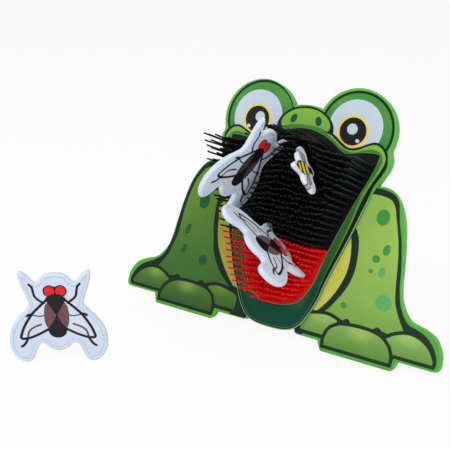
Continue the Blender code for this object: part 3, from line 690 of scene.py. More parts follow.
def board_mesh(name, outer, holes, paints, art, face, thickness, bores, ground=None):
    """A printed board: its front is cut into regions of ink, its arrises are rounded, and
    screw bores enter its back. Paints are those of the sides, the back, the front and the
    arris, and art is a list of (material, outline)."""
    finishes = list(paints)
    layers = [2]
    for finish, _ in art:
        if finish not in finishes:
            finishes.append(finish)
        layers.append(finishes.index(finish))
    base = moved_clear(outer, -ARRIS)
    cuts = [moved_clear(hole, ARRIS) for hole in holes]
    polygons = [base] + [outline for _, outline in art] + cuts
    places, triangles, top, within, _ = flat_regions(polygons)
    first_cut = 1 + len(art)
    work = bmesh.new()
    verts = [work.verts.new((point.x, point.y, face)) for point in places]
    work.verts.index_update()
    for corner_numbers, number, inside in zip(triangles, top, within):
        if inside and number < first_cut:
            made = work.faces.new([verts[corner] for corner in corner_numbers])
            made.material_index = layers[number]
    for vert in [vert for vert in work.verts if not vert.link_faces]:
        work.verts.remove(vert)
    work.verts.index_update()
    sharp = []
    profile = edge_profile(thickness)
    back_rings = []
    for ring, ways in rim_loops(work):
        sharp += neighbours(ring)
        last = ring
        start = [vert.co.copy() for vert in ring]
        for number, (out, depth) in enumerate(profile):
            fresh = [work.verts.new((place.x + way.x * out, place.y + way.y * out, face - depth))
                     for place, way in zip(start, ways)]
            for i in range(len(ring)):
                j = (i + 1) % len(ring)
                side = work.faces.new((last[j], last[i], fresh[i], fresh[j]))
                side.material_index = 3 if number < ARRIS_STEPS else 0
            last = fresh
        back_rings.append(last)
        sharp += neighbours(last)
    circles = [round_points(centre, rings[0][0]) for centre, rings in bores]
    polygons = [[vert.co.xy for vert in ring] for ring in back_rings] + circles
    outer_number = max(range(len(back_rings)), key=lambda n: max(vert.co.x for vert in back_rings[n]))
    order = [outer_number] + [n for n in range(len(polygons)) if n != outer_number]
    places, triangles, top, within, sources = flat_regions([polygons[n] for n in order])
    starts, total = {}, 0
    for n in order:
        starts[n] = total
        total += len(polygons[n])
    known = {starts[n] + k: vert for n, ring in enumerate(back_rings) for k, vert in enumerate(ring)}
    back_level = face - thickness
    back_verts = []
    for place, source in zip(places, sources):
        match = [number for number in source if number in known]
        back_verts.append(known[match[0]] if match else work.verts.new((place.x, place.y, back_level)))
    for corner_numbers, number, inside in zip(triangles, top, within):
        if inside and number == 0:
            made = work.faces.new([back_verts[corner] for corner in reversed(corner_numbers)])
            made.material_index = 1
    for number, (centre, rings) in enumerate(bores):
        start = starts[len(back_rings) + number]
        ring = [next(v for v, s in zip(back_verts, sources) if start + k in s) for k in range(BORE_SIDES)]
        for radius, depth in rings[1:]:
            fresh = [work.verts.new((*point, back_level + depth)) for point in round_points(centre, radius)]
            for k in range(BORE_SIDES):
                j = (k + 1) % BORE_SIDES
                wall = work.faces.new((ring[k], ring[j], fresh[j], fresh[k]))
                wall.material_index = 1
            ring = fresh
        work.faces.new(ring[::-1]).material_index = 1
    if ground is not None:
        cut_at_table(work, *ground)
    bmesh.ops.recalc_face_normals(work, faces=work.faces)
    return finished_board(name, work, sharp, finishes)


def add_piece(name, mesh, place, body, nodes):
    """A visible piece on its body, standing for its solids."""
    piece = bpy.data.objects.new(name, mesh)
    bpy.context.scene.collection.objects.link(piece)
    piece.matrix_world = place
    bpy.context.view_layer.update()
    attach(piece, body)
    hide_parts(*nodes)
    return piece


def distances(points, outline):
    """Distance of each point from a closed outline, as an array."""
    spots = np.array([point[:2] for point in points])
    a = np.array([tuple(point) for point in outline])
    b = np.roll(a, -1, axis=0)
    best = np.full(len(spots), 1e9)
    for start, end in zip(a, b):
        run = end - start
        size = max(float(run @ run), 1e-18)
        t = np.clip(((spots - start) @ run) / size, 0, 1)
        gap = spots - (start + t[:, None] * run)
        best = np.minimum(best, np.hypot(gap[:, 0], gap[:, 1]))
    return best


# Rings of points near a pad's rim in metres, and its fullness against millimetres from the rim
SEAM_RINGS = (0.0002, 0.0006, 0.0012, 0.0020, 0.0029, 0.0037, 0.0043, 0.00465, 0.00495, 0.0054, 0.0062,
              0.0073)
PAD_AT = (0, 0.2, 0.6, 1.2, 2.0, 2.9, 3.7, 4.3, 4.65, 4.8, 4.95, 5.4, 6.2, 7.3, 9, 12, 16, 22)
PAD_FULL = (0, 0.30, 0.50, 0.64, 0.75, 0.80, 0.77, 0.68, 0.58, 0.54, 0.57, 0.64, 0.70, 0.73, 0.75, 0.76,
            0.78, 0.80)


def padded_mesh(name, outline, thickness, art, cloth, seam, scale, seed):
    """A crowned soft shape, pressed together along a seam inside its puffed rim and printed on both faces,
    with a thin band of painted shade along the seam crease. Scale is 1 for a fly and less for a smaller
    insect."""
    seam_at = 0.0048 * scale
    finishes = [cloth, seam]
    layers = [0]
    for finish, _ in art:
        if finish not in finishes:
            finishes.append(finish)
        layers.append(finishes.index(finish))
    loose = []
    for ring in SEAM_RINGS:
        offset = ring * scale
        line = grown(outline, -offset)
        gaps = distances(line, outline)
        previous = None
        for point, gap in zip(line, gaps):
            if gap > 0.985 * offset and is_inside(point, outline):
                if previous is None or (point - previous).length > 0.0007:
                    loose.append(point)
                    previous = point
    pitch = 0.0021 * scale
    low = Vector((min(p.x for p in outline), min(p.y for p in outline)))
    high = Vector((max(p.x for p in outline), max(p.y for p in outline)))
    grid = []
    for row in range(int((high.y - low.y) / (pitch * 0.866)) + 1):
        for column in range(int((high.x - low.x) / pitch) + 2):
            grid.append(Vector((low.x + (column + row % 2 / 2) * pitch, low.y + row * pitch * 0.866)))
    gaps = distances(grid, outline)
    loose += [point for point, gap in zip(grid, gaps) if gap > 0.0082 * scale and is_inside(point, outline)]
    places, triangles, top_layer, within, _ = flat_regions([outline] + [shape for _, shape in art], loose)
    gaps = distances(places, outline)
    half = thickness / 2
    heights = np.interp(gaps, np.array(PAD_AT) * 0.001 * scale, PAD_FULL) * half
    work = bmesh.new()
    top, bottom = [], []
    for place, gap, height in zip(places, gaps, heights):
        swell = noise.noise(Vector((place.x * 70, place.y * 70, seed))) * 0.045
        crease = noise.noise(Vector((place.x * 260, place.y * 260, seed + 9.0))) * 0.03
        height *= 1 + (swell + crease) * min(1.0, gap / (0.002 * scale)) - 0.05
        if gap < 1e-7:
            vert = work.verts.new((place.x, place.y, 0))
            top.append(vert)
            bottom.append(vert)
        else:
            top.append(work.verts.new((place.x, place.y, height)))
            bottom.append(work.verts.new((place.x, place.y, -height)))
    for corner_numbers, layer, inside in zip(triangles, top_layer, within):
        if not inside:
            continue
        number = layers[layer]
        middle = sum(gaps[n] for n in corner_numbers) / 3
        # Triangles along the seam take the seam cloth: a painted shade line in the crease.
        if number == 0 and abs(middle - seam_at) < 0.00017 * scale:
            number = 1
        for verts, order in ((top, 1), (bottom, -1)):
            corner_verts = [verts[n] for n in corner_numbers][::order]
            if len(set(corner_verts)) == 3 and not work.faces.get(corner_verts):
                made = work.faces.new(corner_verts)
                made.material_index = number
                made.smooth = True
    bmesh.ops.recalc_face_normals(work, faces=work.faces)
    mesh = bpy.data.meshes.new(name)
    work.to_mesh(mesh)
    work.free()
    for finish in finishes:
        mesh.materials.append(finish)
    return mesh


# ---- prints

def both(art, finish, shape):
    """A shape added to the art on both sides of the middle line."""
    art.append((finish, shape))
    art.append((finish, mirrored(shape)))


def on_side(outline, sign):
    """An outline as drawn on the right, or mirrored for the left where the sign is -1."""
    return outline if sign > 0 else mirrored(outline)


def leg_band(outer, inner, sign):
    """Ink shape and skin shape of a leg, as outlines in metres, on its side."""
    ink = corners(
        [(0.15, 0.468), (0.243, 0.468), *outer],
        [outer[-1], (0.39, 0.034)],
        [(0.39, 0.034), (0.385, 0.022), (0.381, 0.009)],
        [(0.381, 0.009), (0.184, 0.009)],
        [(0.184, 0.009), (0.179, 0.018), (0.176, 0.030)],
        [(0.176, 0.030), (0.05, 0.030)],
        [(0.05, 0.030), (0.05, 0.30)],
    )
    skin = corners(
        [(0.15, 0.450), (0.243, 0.450), *inner],
        [inner[-1], (0.37, 0.060)],
        [(0.37, 0.060), (0.10, 0.060)],
        [(0.10, 0.060), (0.10, 0.30)],
    )
    return on_side(ink, sign), on_side(skin, sign)


def body_art():
    """Print of the rear board. The left leg's skin, toes and spots are darker copies, painted shade, and the
    right leg's skin and toes are lighter copies, painted light.
    """
    ink = print_ink("outline_ink", ((0, (24, 44, 30)), (0.5, (26, 46, 34)), (1, (36, 54, 42))),
                    along=(1, 0), span=(-0.4, 0.4))
    # The right leg's skin is a lit copy of the leg green: painted light.
    lit_skin_right = print_ink(
        "right_leg_skin_painted_light",
        ((0, (112, 158, 62)), (0.2, (135, 178, 84)), (0.5, (150, 188, 86)), (1, (156, 196, 92))),
        span=(0.08, 0.46))
    # The left leg's skin is a shaded copy of the same green: painted shade.
    shaded_skin_left = print_ink(
        "left_leg_skin_painted_shade",
        ((0, (60, 102, 42)), (0.3, (72, 115, 48)), (0.65, (92, 134, 54)), (1, (112, 150, 58))),
        span=(0.08, 0.46))
    belly = print_ink("belly_yellow", ((0, (160, 154, 56)), (1, (206, 206, 88))),
                      along=(1, 0), span=(-0.25, 0.22))
    # The right toes are a lit copy of the toe greens: painted light.
    lit_toe_right = print_ink(
        "right_toes_painted_light", ((0, (88, 134, 56)), (0.55, (116, 158, 78)), (1, (142, 182, 94))), span=(0.01, 0.10),
        glow=(((0.283, 0.074), (0.055, 0.035), (160, 192, 98), 0.8),
              ((0.415, 0.094), (0.050, 0.032), (162, 194, 108), 0.8),
              ((0.165, 0.092), (0.050, 0.032), (156, 184, 92), 0.8)))
    # The left toes are a shaded copy of the same greens: painted shade.
    shaded_toe_left = print_ink(
        "left_toes_painted_shade", ((0, (50, 86, 42)), (0.5, (68, 106, 46)), (1, (92, 130, 54))), span=(0.01, 0.10),
        glow=(((-0.288, 0.074), (0.050, 0.032), (128, 160, 74), 0.85),
              ((-0.408, 0.094), (0.048, 0.032), (126, 160, 64), 0.85),
              ((-0.168, 0.095), (0.048, 0.032), (104, 140, 56), 0.85)))
    spot = print_ink("spot_green", ((0, (62, 140, 66)), (1, (74, 160, 64))))
    spot_pale = print_ink("pale_spot_green", ((0, (92, 172, 100)), (1, (98, 172, 90))))
    # The left leg's spots are a shaded copy of the spot green: painted shade.
    shaded_spot = print_ink("spot_green_painted_shade", ((0, (33, 88, 44)), (1, (36, 98, 50))))
    outer_right = pairs("""2700 4660, 2950 4590, 3070 4490, 3140 4370, 3180 4200, 3230 4000, 3280 3800,
        3410 3400, 3500 3000, 3580 2600, 3630 2200, 3730 1800, 3820 1600, 3930 1420, 4080 1280, 4300 1210,
        4500 1140, 4700 1010, 4870 810, 4970 600, 4995 450, 4970 340""")
    inner_right = pairs("""2700 4485, 2880 4430, 2970 4360, 3070 4200, 3130 4000, 3200 3800, 3320 3400,
        3410 3000, 3470 2600, 3520 2200, 3590 1800, 3670 1600, 3770 1400, 3900 1200, 4000 1050""")
    outer_left = pairs("""2800 4680, 3070 4600, 3220 4520, 3330 4370, 3410 4200, 3480 4000, 3590 3600,
        3680 3000, 3720 2600, 3750 2200, 3850 1800, 3920 1600, 4070 1400, 4300 1240, 4500 1140, 4700 1020,
        4880 820, 4990 600, 5010 460, 4980 340""")
    inner_left = pairs("""2800 4510, 3000 4450, 3120 4370, 3240 4200, 3350 4000, 3470 3600, 3560 3000,
        3580 2600, 3610 2200, 3720 1800, 3770 1600, 3880 1400, 4020 1180, 4100 1050""")
    art = []
    # Each side with its outlines, skin and toes; the right side's inks carry painted light, the left side's
    # painted shade.
    sides = (
        (1, outer_right, inner_right, lit_skin_right, lit_toe_right),
        (-1, outer_left, inner_left, shaded_skin_left, shaded_toe_left),
    )
    for sign, outer, inner, skin, _ in sides:
        dark, light = leg_band(outer, inner, sign)
        art += [(ink, dark), (skin, light)]
    art.append((ink, scaled([(-0.12, 0.025), (0.12, 0.025), (0.12, 0.45), (-0.12, 0.45)])))
    bellies = (
        (ink, 1, 0.06, """1000 4000, 1900 3750, 2050 3550, 2200 3300, 2280 3000, 2320 2600, 2310 2300,
            2250 2000, 2130 1700, 2000 1470, 1830 1200, 1650 1000"""),
        (belly, 1, 0.08, """1000 3700, 1850 3450, 1980 3270, 2070 2950, 2110 2600, 2100 2300, 2050 2050,
            1900 1650, 1700 1300, 1450 1000, 1200 800"""),
        (ink, -1, 0.06, """1000 4100, 2100 3850, 2350 3700, 2450 3500, 2450 3100, 2400 2700, 2320 2400,
            2220 2000, 2070 1700, 1850 1400, 1650 1220, 1450 1050"""),
        (belly, -1, 0.10, """1000 3850, 2000 3680, 2240 3500, 2350 3300, 2280 3000, 2220 2600, 2100 2200,
            1950 1900, 1750 1600, 1500 1300, 1300 1100"""),
    )
    for finish, sign, foot, text in bellies:
        side = pairs(text)
        outline = corners(side, [side[-1], (0.09, foot)], [(0.09, foot), (0.09, 0.20)])
        art.append((finish, on_side(outline, sign)))
    inner_toe = pairs("1100 410, 1100 800, 1400 910, 1750 970, 2000 930, 2250 830, 2400 700, 2450 410")
    outer_toe = pairs("""3350 410, 3450 650, 3650 830, 3850 940, 4120 1010, 4400 970, 4650 830, 4810 640,
        4890 480, 4880 410""")
    middle_toe = pairs("""1880 150, 1870 350, 1960 600, 2200 770, 2500 825, 2850 840, 3150 820, 3420 740,
        3650 550, 3760 300, 3760 150""")
    wedges = (
        pairs("3160 860, 3200 960, 3300 1000, 3420 930, 3600 880, 3500 700, 3300 750"),
        pairs("2500 880, 2470 980, 2370 1010, 2280 950, 2120 900, 2200 750, 2400 780"),
    )
    for sign, _, _, _, tint in sides:
        for toe, gaps in ((inner_toe, ()), (outer_toe, ()), (middle_toe, wedges)):
            art += [(ink, on_side(smooth_loop(gap), sign)) for gap in gaps]
            arch = path(toe)
            art.append((ink, on_side(grown(arch, TOE_LINE), sign)))
            art.append((tint, on_side(arch, sign)))
    # The spots on the left leg take the shaded copy: painted shade.
    spots = (
        (spot, (0.278, 0.392), (0.0190, 0.0225), 0), (spot, (0.307, 0.307), (0.0102, 0.0150), -8),
        (spot, (0.283, 0.278), (0.0110, 0.0105), 0), (spot, (0.276, 0.243), (0.0062, 0.0066), 0),
        (spot_pale, (0.307, 0.246), (0.0095, 0.0150), -6), (spot_pale, (0.329, 0.167), (0.0225, 0.0215), 0),
        (spot, (0.221, 0.135), (0.0088, 0.0086), 0), (shaded_spot, (-0.290, 0.340), (0.0180, 0.0250), -8),
        (shaded_spot, (-0.327, 0.244), (0.0095, 0.0165), -16),
        (shaded_spot, (-0.327, 0.182), (0.0090, 0.0150), -12),
        (shaded_spot, (-0.252, 0.161), (0.0150, 0.0155), 0),
    )
    for finish, centre, radii, tilt in spots:
        art.append((finish, ellipse(centre, radii, tilt)))
    return art


def settled(shape):
    """A print of the head as it sits on the board: its jaw reaches out to the edge, most of
    all low down and on the left."""
    result = []
    for point in shape:
        x, y = point.x / FOOT_SPAN, point.y / FOOT_SPAN
        down = min(max(0.5 - y, 0.0) / 0.4, 1.0)
        aside = min(max(-x, 0.0) / 0.1, 1.0)
        jaw = min(max(0.46 - y, 0.0) / 0.10, 1.0) * min(abs(x) / 0.06, 1.0)
        chin = min(max(0.085 - y, 0.0) / 0.04, 1.0)
        x += math.copysign(0.0037 * jaw, x) - 0.0100 * down * aside
        result.append(Vector((x, y - 0.0068 * chin)) * FOOT_SPAN)
    return result


def jaw_part(level, margins):
    """The front board's outline below a level, moved in by a margin that changes with height."""
    outline = head_outline()
    inner = grown(outline, -0.001)
    line = []
    for edge, inside in zip(outline, inner):
        height = edge.y / FOOT_SPAN
        margin = margins[0][1] if height < margins[0][0] else margins[-1][1]
        for (low, first), (high, second) in zip(margins, margins[1:]):
            if low <= height <= high:
                margin = first + (second - first) * (height - low) / (high - low)
        line.append(edge + (inside - edge) * (margin / 0.001))
    return kept_side(line, level * FOOT_SPAN, -1)


def head_art():
    """Print of the front board."""
    ink = print_ink("head_outline_ink", ((0, (14, 38, 26)), (1, (18, 42, 26))), span=(0.1, 0.7))
    lid = [
        print_ink(name, ((0, (58, 128, 54)), (0.5, (64, 134, 58)), (1, (72, 142, 62))), span=(0.50, 0.73),
                  glow=(((side * 0.235, 0.655), (0.05, 0.09), (86, 150, 66), 0.7),
                        ((side * 0.09, 0.685), (0.06, 0.05), (96, 158, 72), 0.6)))
        for name, side in (("right_lid_green", 1), ("left_lid_green", -1))
    ]
    white = print_ink("eye_white", ((0, (203, 208, 224)), (1, (194, 208, 220))), span=(0.54, 0.70))
    ring = print_ink("iris_yellow", ((0, (240, 212, 84)), (1, (228, 210, 100))), span=(0.56, 0.66))
    pupil = print_ink("pupil_black", ((0, (24, 25, 26)), (1, (30, 30, 30))))
    shine = print_ink("pupil_shine", ((0, (204, 214, 222)), (1, (196, 208, 218))), span=(0.57, 0.64))
    lime = print_ink("nose_lime", ((0, (120, 176, 70)), (1, (130, 184, 64))), span=(0.60, 0.67))
    nostril = print_ink("nostril_teal", ((0, (20, 84, 62)), (1, (24, 92, 66))), span=(0.60, 0.65))
    cheek = print_ink("cheek_lime", ((0, (104, 156, 72)), (1, (132, 184, 70))), span=(0.44, 0.585))
    lip = print_ink(
        "lip_green",
        ((0, (10, 70, 58)), (0.20, (12, 72, 54)), (0.42, (52, 98, 44)), (0.75, (62, 116, 46)),
         (1, (68, 124, 56))),
        span=(0.03, 0.60))
    soft_line = print_ink(
        "lip_glow_green", ((0, (70, 104, 48)), (0.4, (84, 126, 50)), (1, (112, 160, 66))), span=(0.08, 0.60))
    chin = print_ink(
        "chin_teal", ((0, (18, 62, 50)), (0.45, (8, 76, 58)), (0.85, (16, 78, 54)), (1, (40, 86, 50))),
        span=(0.025, 0.098))
    art = []
    jaw_ink = pairs("""2549 5537, 2620 5457, 2638 5277, 2552 5037, 2389 4737, 2224 4378, 1988 3779,
        1831 3379, 1679 2880, 1538 2380, 1375 1861, 1225 1382, 1039 1022, 815 703, 494 432, 169 315,
        0 288""")
    above_eyes = path(pairs("0 5987, 1217 6082, 2112 5949, 2549 5537"))
    art.append((ink, closed(above_eyes[:-1] + path(jaw_ink))))
    eyes = (
        (lid[0], pairs("1563 6160, 1535 6213, 1480 6106, 1453 6170, 1659 5855")),
        (lid[1], pairs("-1482 6176, -1586 6201, -1590 6117, -1513 6197, -1841 5884")),
    )
    for finish, (rim, ball, iris, big, small) in eyes:
        reach = 0.1136 if rim[0] < 0 else 0.1108
        discs = (
            (ink, rim, reach, 96), (finish, rim, reach - 0.0074, 96), (white, ball, 0.0805, 80),
            (ring, iris, 0.0468, 64), (pupil, iris, 0.0397, 64), (shine, big, 0.0156, 40),
        )
        for tint, middle, radius, sides in discs:
            art.append((tint, ellipse(middle, (radius, radius), steps=sides)))
        art.append((shine, ellipse(small, (0.0062, 0.0052), -25, steps=24)))
    lip_top = pairs("""0 6112, 317 6091, 535 6035, 732 5954, 850 5924, 1054 5783, 1248 5647, 1426 5581,
        1596 5581, 1778 5640, 1983 5749, 2196 5813, 2383 5748, 2516 5587, 2559 5427, 2521 5237, 2421 5007,
        2279 4718""")
    nose_ink = path(pairs("""0 6667, 300 6627, 550 6527, 750 6372, 865 6197, 905 6027, 870 5887, 750 5787,
        0 5787"""))
    art.append((ink, closed(nose_ink)))
    crest = path(pairs("""616 6055, 813 5999, 961 5943, 1184 5782, 1418 5647, 1599 5651, 1761 5705,
        1986 5814, 2199 5883, 2425 5808, 2578 5637, 2611 5477, 2483 5277"""))
    both(art, ink, crest + scaled([(0.20, 0.50), (0.10, 0.50)]))
    lime_side = path(lip_top + pairs("""2134 4378, 1923 3889, 1711 3380, 1559 2880, 1433 2381, 1276 1881,
        1116 1412, 930 1043, 707 754, 437 525, 133 421, 0 397"""))
    art.append((cheek, closed(lime_side)))
    lip_edge = path(pairs("""0 6102, 317 6081, 535 6025, 731 5939, 1003 5763, 1197 5617, 1424 5536,
        1643 5531, 1897 5620, 2150 5679, 2358 5628, 2453 5507, 2472 5377, 2407 5147, 2285 4878, 2024 4379,
        1828 3890, 1646 3380, 1529 2881, 1418 2381, 1268 1881, 1111 1412, 925 1048, 703 759, 433 530,
        133 426, 0 402"""))
    art.append((lip, closed(lip_edge)))
    nose = path(pairs("""0 6607, 300 6567, 520 6472, 690 6337, 770 6207, 775 6097, 720 6007, 520 6062,
        280 6112, 0 6122"""))
    art.append((lime, closed(nose)))
    art.append((nostril, ellipse((0.0395, 0.6262), (0.0098, 0.0140), 12)))
    art.append((nostril, ellipse((-0.0395, 0.6275), (0.0098, 0.0140), -24)))
    chin_top = path(pairs("0 982, 269 1030, 682 1199, 940 1503"))
    chin_side = path(pairs("1055 1382, 901 1063, 694 784, 429 560, 134 451, 0 427"))
    art.append((chin, closed(chin_top + chin_side)))
    glow_low = path(pairs("0 892, 275 940, 713 1109, 1069 1612, 1300 2431"))
    glow_high = path(pairs("1261 2452, 1026 1652, 675 1154, 267 985, 0 937"))
    half = list(reversed(glow_high)) + list(reversed(glow_low))
    art.append((soft_line, closed(half)))
    result = []
    jaw_parts = {
        ink.name: (0.50, ((0.05, 0.0008), (0.42, 0.0008), (0.50, 0.0042))),
        cheek.name: (0.47, ((0.05, 0.0030), (0.20, 0.0052), (0.36, 0.0064), (0.47, 0.0082))),
        lip.name: (0.47, ((0.05, 0.0034), (0.20, 0.0056), (0.34, 0.0078), (0.47, 0.0120))),
    }
    for finish, shape in art:
        result.append((finish, askew(settled(shape))))
        if finish.name in jaw_parts:
            result.append((finish, jaw_part(*jaw_parts.pop(finish.name))))
    return result


def fly_art(size, brown):
    """Print of a fly in black, red and a brown."""
    art = []
    strokes = (
        (brown, 0.015, "-1170 400, -1630 260, -2250 360, -2620 470"),
        (FLY_BLACK, 0.022, "-2450 460, -2700 480, -3030 260"),
        (brown, 0.021, "-1630 -660, -2390 -980, -2870 -1400, -3030 -1850, -3090 -2150"),
        (FLY_BLACK, 0.027, "-3090 -2220, -3280 -2620, -3520 -2960, -3800 -3160"),
        (FLY_BLACK, 0.025, "-2520 3770, -2260 3450, -2160 2950, -2060 2500, -1750 2120, -1200 1720"),
        (FLY_BLACK, 0.028, "-700 2250, -1600 1420, -2390 610, -3000 -270, -3450 -1100, -3740 -1900"),
        (FLY_BLACK, 0.028, "-3740 -1900, -3760 -2120, -3560 -2250, -2840 -2150, -1950 -1780, -900 -1200"),
    )
    for finish, width, points in strokes:
        both(art, finish, stroke(pairs(points), width, size))
    wing_side = pairs("-660 2050, -980 1650, -1180 1200, -1260 200, -1180 -600, -920 -1200")
    wing_foot = pairs("-920 -1200, 0 -600, 0 380")
    both(art, brown, corners(wing_side, wing_foot, pairs("0 380, -660 2050"), size=size))
    body = corners(pairs("""0 2620, 600 2500, 1000 2220, 700 1500, 100 450, 120 220, 500 -550, 940 -1180,
        880 -1650, 600 -2030, 280 -2180, 0 -2210"""), size=size)
    art.append((FLY_BLACK, closed(body)))
    both(art, FLY_BLACK, ellipse((-0.054, 0.303), (0.067, 0.066), size=size))
    both(art, FLY_RED, ellipse((-0.0555, 0.303), (0.0505, 0.0535), size=size))
    nose = pairs("-50 3550, 50 3550, 60 3000, 100 2500, -100 2500, -60 3000")
    neck = pairs("-900 2350, -350 2720, 0 2500, 0 2150, -600 2050, -1050 2050")
    art.append((FLY_BLACK, smooth_loop(nose, size)))
    both(art, FLY_BLACK, smooth_loop(neck, size))
    return art


def bee_art(size):
    """Print of a bee, and its materials."""
    yellow = soft_fabric("bee_yellow_print", (240, 216, 52), 0.50, 0.1)
    grey = soft_fabric("bee_wing_print", (172, 176, 186), 0.50, 0.1)
    art = []
    wings = (((0.300, -0.020), (0.150, 0.080), -14), ((0.225, 0.075), (0.105, 0.075), 10))
    for centre, radii, tilt in wings:
        both(art, FLY_BLACK, ellipse(centre, radii, tilt, size))
        both(art, grey, ellipse(centre, (radii[0] - 0.020, radii[1] - 0.020), tilt, size))
    art.append((FLY_BLACK, ellipse((0, 0.300), (0.082, 0.078), 0, size)))
    art.append((FLY_BLACK, ellipse((0, -0.060), (0.150, 0.310), 0, size)))
    sting = pairs("0 -4250, -300 -3500, -550 -2800, 550 -2800, 300 -3500")
    art.append((FLY_BLACK, smooth_loop(sting, size)))
    for low, high in ((-0.285, -0.205), (-0.135, -0.035), (0.035, 0.150)):
        rows = []
        for step in range(9):
            y = low + (high - low) * step / 8
            rows.append((0.132 * math.sqrt(max(0.0, 1 - ((y + 0.040) / 0.272) ** 2)), y))
        right = scaled([(x, y + 0.018 * (x / 0.13) ** 2) for x, y in rows], size)
        bend = scaled([(x, low) for x in (-0.05, 0.0, 0.05)], size)
        top = scaled([(x, high) for x in (0.05, 0.0, -0.05)], size)
        art.append((yellow, right + top + mirrored(right) + bend))
    return art


# ---- placing

def insect_place(shares, lift, facing, turn, outline):
    """Where a stuck insect stands, on the boards' plane."""
    forward = Vector((math.cos(facing), math.sin(facing), 0))
    along = Vector((-math.sin(facing), math.cos(facing), 0))
    outward = Vector((0, 0, 1))
    across = math.cos(turn) * along + math.sin(turn) * outward
    up = -math.sin(turn) * along + math.cos(turn) * outward
    lowest = min((across * point.x + up * point.y).z for point in outline)
    spot = Vector(shares) * FOOT_SPAN
    origin = Vector((spot.x, spot.y, MAT_FACE + lift - lowest))
    return Matrix.Translation(origin) @ Matrix((across, up, forward)).transposed().to_4x4()


def eased(share):
    """A share from 0 to 1 with soft ends."""
    return share * share * (3 - 2 * share)


def presence(outline, place, facing):
    """For a stuck insect, its lowest height over the boards against the way along it."""
    along = Vector((-math.sin(facing), math.cos(facing)))
    spots = [place @ point.to_3d() - place.translation for point in outline]
    runs = np.array([(spot.xy.dot(along), spot.z + place.translation.z) for spot in spots])
    low, high = runs[:, 0].min(), runs[:, 0].max()
    stations = np.linspace(low, high, 121)
    heights = np.full(len(stations), 1e3)
    after = np.roll(runs, -1, axis=0)
    for (a, za), (b, zb) in zip(runs, after):
        if a == b:
            continue
        t = (stations - a) / (b - a)
        inside = (t >= 0) & (t <= 1)
        heights[inside] = np.minimum(heights[inside], (za + t * (zb - za))[inside])
    return stations, heights


def strand_lines(outline, chooser, stuck, seed):
    """Centre lines of the bristles in an outline, on the boards' plane."""
    dice = random.Random(seed)
    field = grown(MOUTH, -STRAND_MARGIN)
    low = min(point.y for point in MOUTH)
    high = max(point.y for point in MOUTH)
    lines = []
    for row in range(int(FOOT_SPAN / ROW_PITCH)):
        left, right = row_ends(field, row * ROW_PITCH)
        for column in range(int((right - left) / STRAND_PITCH) + 1):
            root = Vector((left + ROW_START + column * STRAND_PITCH, row * ROW_PITCH))
            wander = [dice.gauss(0, 1) for _ in range(5)]
            above = root + Vector((0, TOP_MARGIN))
            if not (is_inside(root, field) and is_inside(above, field) and chooser(root)):
                continue
            spread = splay(root)
            share = (root.y - low) / (high - low)
            length = REACH_LOW + (REACH_HIGH - REACH_LOW) * share - MAT_FACE - STRAND_RADIUS
            length *= 1 - LENGTH_WANDER * abs(wander[0])
            root = root + Vector((wander[1], wander[2])) * ROOT_WANDER
            lean = Vector((wander[3], wander[4])) * LEAN_WANDER
            line = []
            for ring in range(STRAND_RINGS + 1):
                t = ring / STRAND_RINGS
                s = length * t
                sag = DROOP * (length / 0.072) ** 3 * t * t
                side = spread * t ** 1.4
                spot = Vector((root.x + lean.x * s + side, root.y + lean.y * s - sag, MAT_FACE + s))
                spot.xy += parting(root, spot, stuck)
                line.append(spot)
            lines.append(line)
    return lines


def row_ends(outline, level):
    """Where a row at a level enters and leaves an outline."""
    ends = [a.x + (b.x - a.x) * (level - a.y) / (b.y - a.y)
            for a, b in zip(outline, outline[1:] + outline[:1]) if (a.y - level) * (b.y - level) < 0]
    return (min(ends), max(ends)) if ends else (0.0, -1.0)


def splay(root):
    """How far a bristle's tip leans out sideways near the mouth's left and right edges."""
    start, end = row_ends(MOUTH, root.y)
    left = max(0.0, 1 - (root.x - start) / SPLAY_REACH)
    right = max(0.0, 1 - (end - root.x) / SPLAY_REACH)
    left *= min(max(0.565 - root.y / FOOT_SPAN, 0.0) / 0.125, 1.0)
    return SPLAY * (right * RIGHT_SPLAY_SHARE - left)


def parting(root, spot, stuck):
    """How far the bristles stand aside for the stuck insects at a spot."""
    shift = Vector((0, 0))
    for place, facing, half, clearing, (stations, heights) in stuck:
        forward = Vector((math.cos(facing), math.sin(facing)))
        along = Vector((-forward.y, forward.x))
        away = spot.xy - place.translation.xy
        run = away.dot(along)
        aside = away.dot(forward)
        edge = max(stations[0] - run, run - stations[-1], 0.0)
        near = max(0.0, 1 - edge / PARTING_FADE)
        if near <= 0:
            continue
        floor = float(np.interp(run, stations, heights))
        climb = (spot.z - MAT_FACE) / max(floor - MAT_FACE - 0.0015, 0.004)
        rise = eased(min(max(climb, 0.0), 1.0))
        room = half + STRAND_RADIUS + 0.0003
        side = 1.0 if aside >= 0 else -1.0
        room += clearing if aside >= 0 else 0.0
        push = max(0.0, 1 - abs(aside) / PARTING_REACH) * room
        shift += forward * (side * push * rise * eased(near))
    return shift


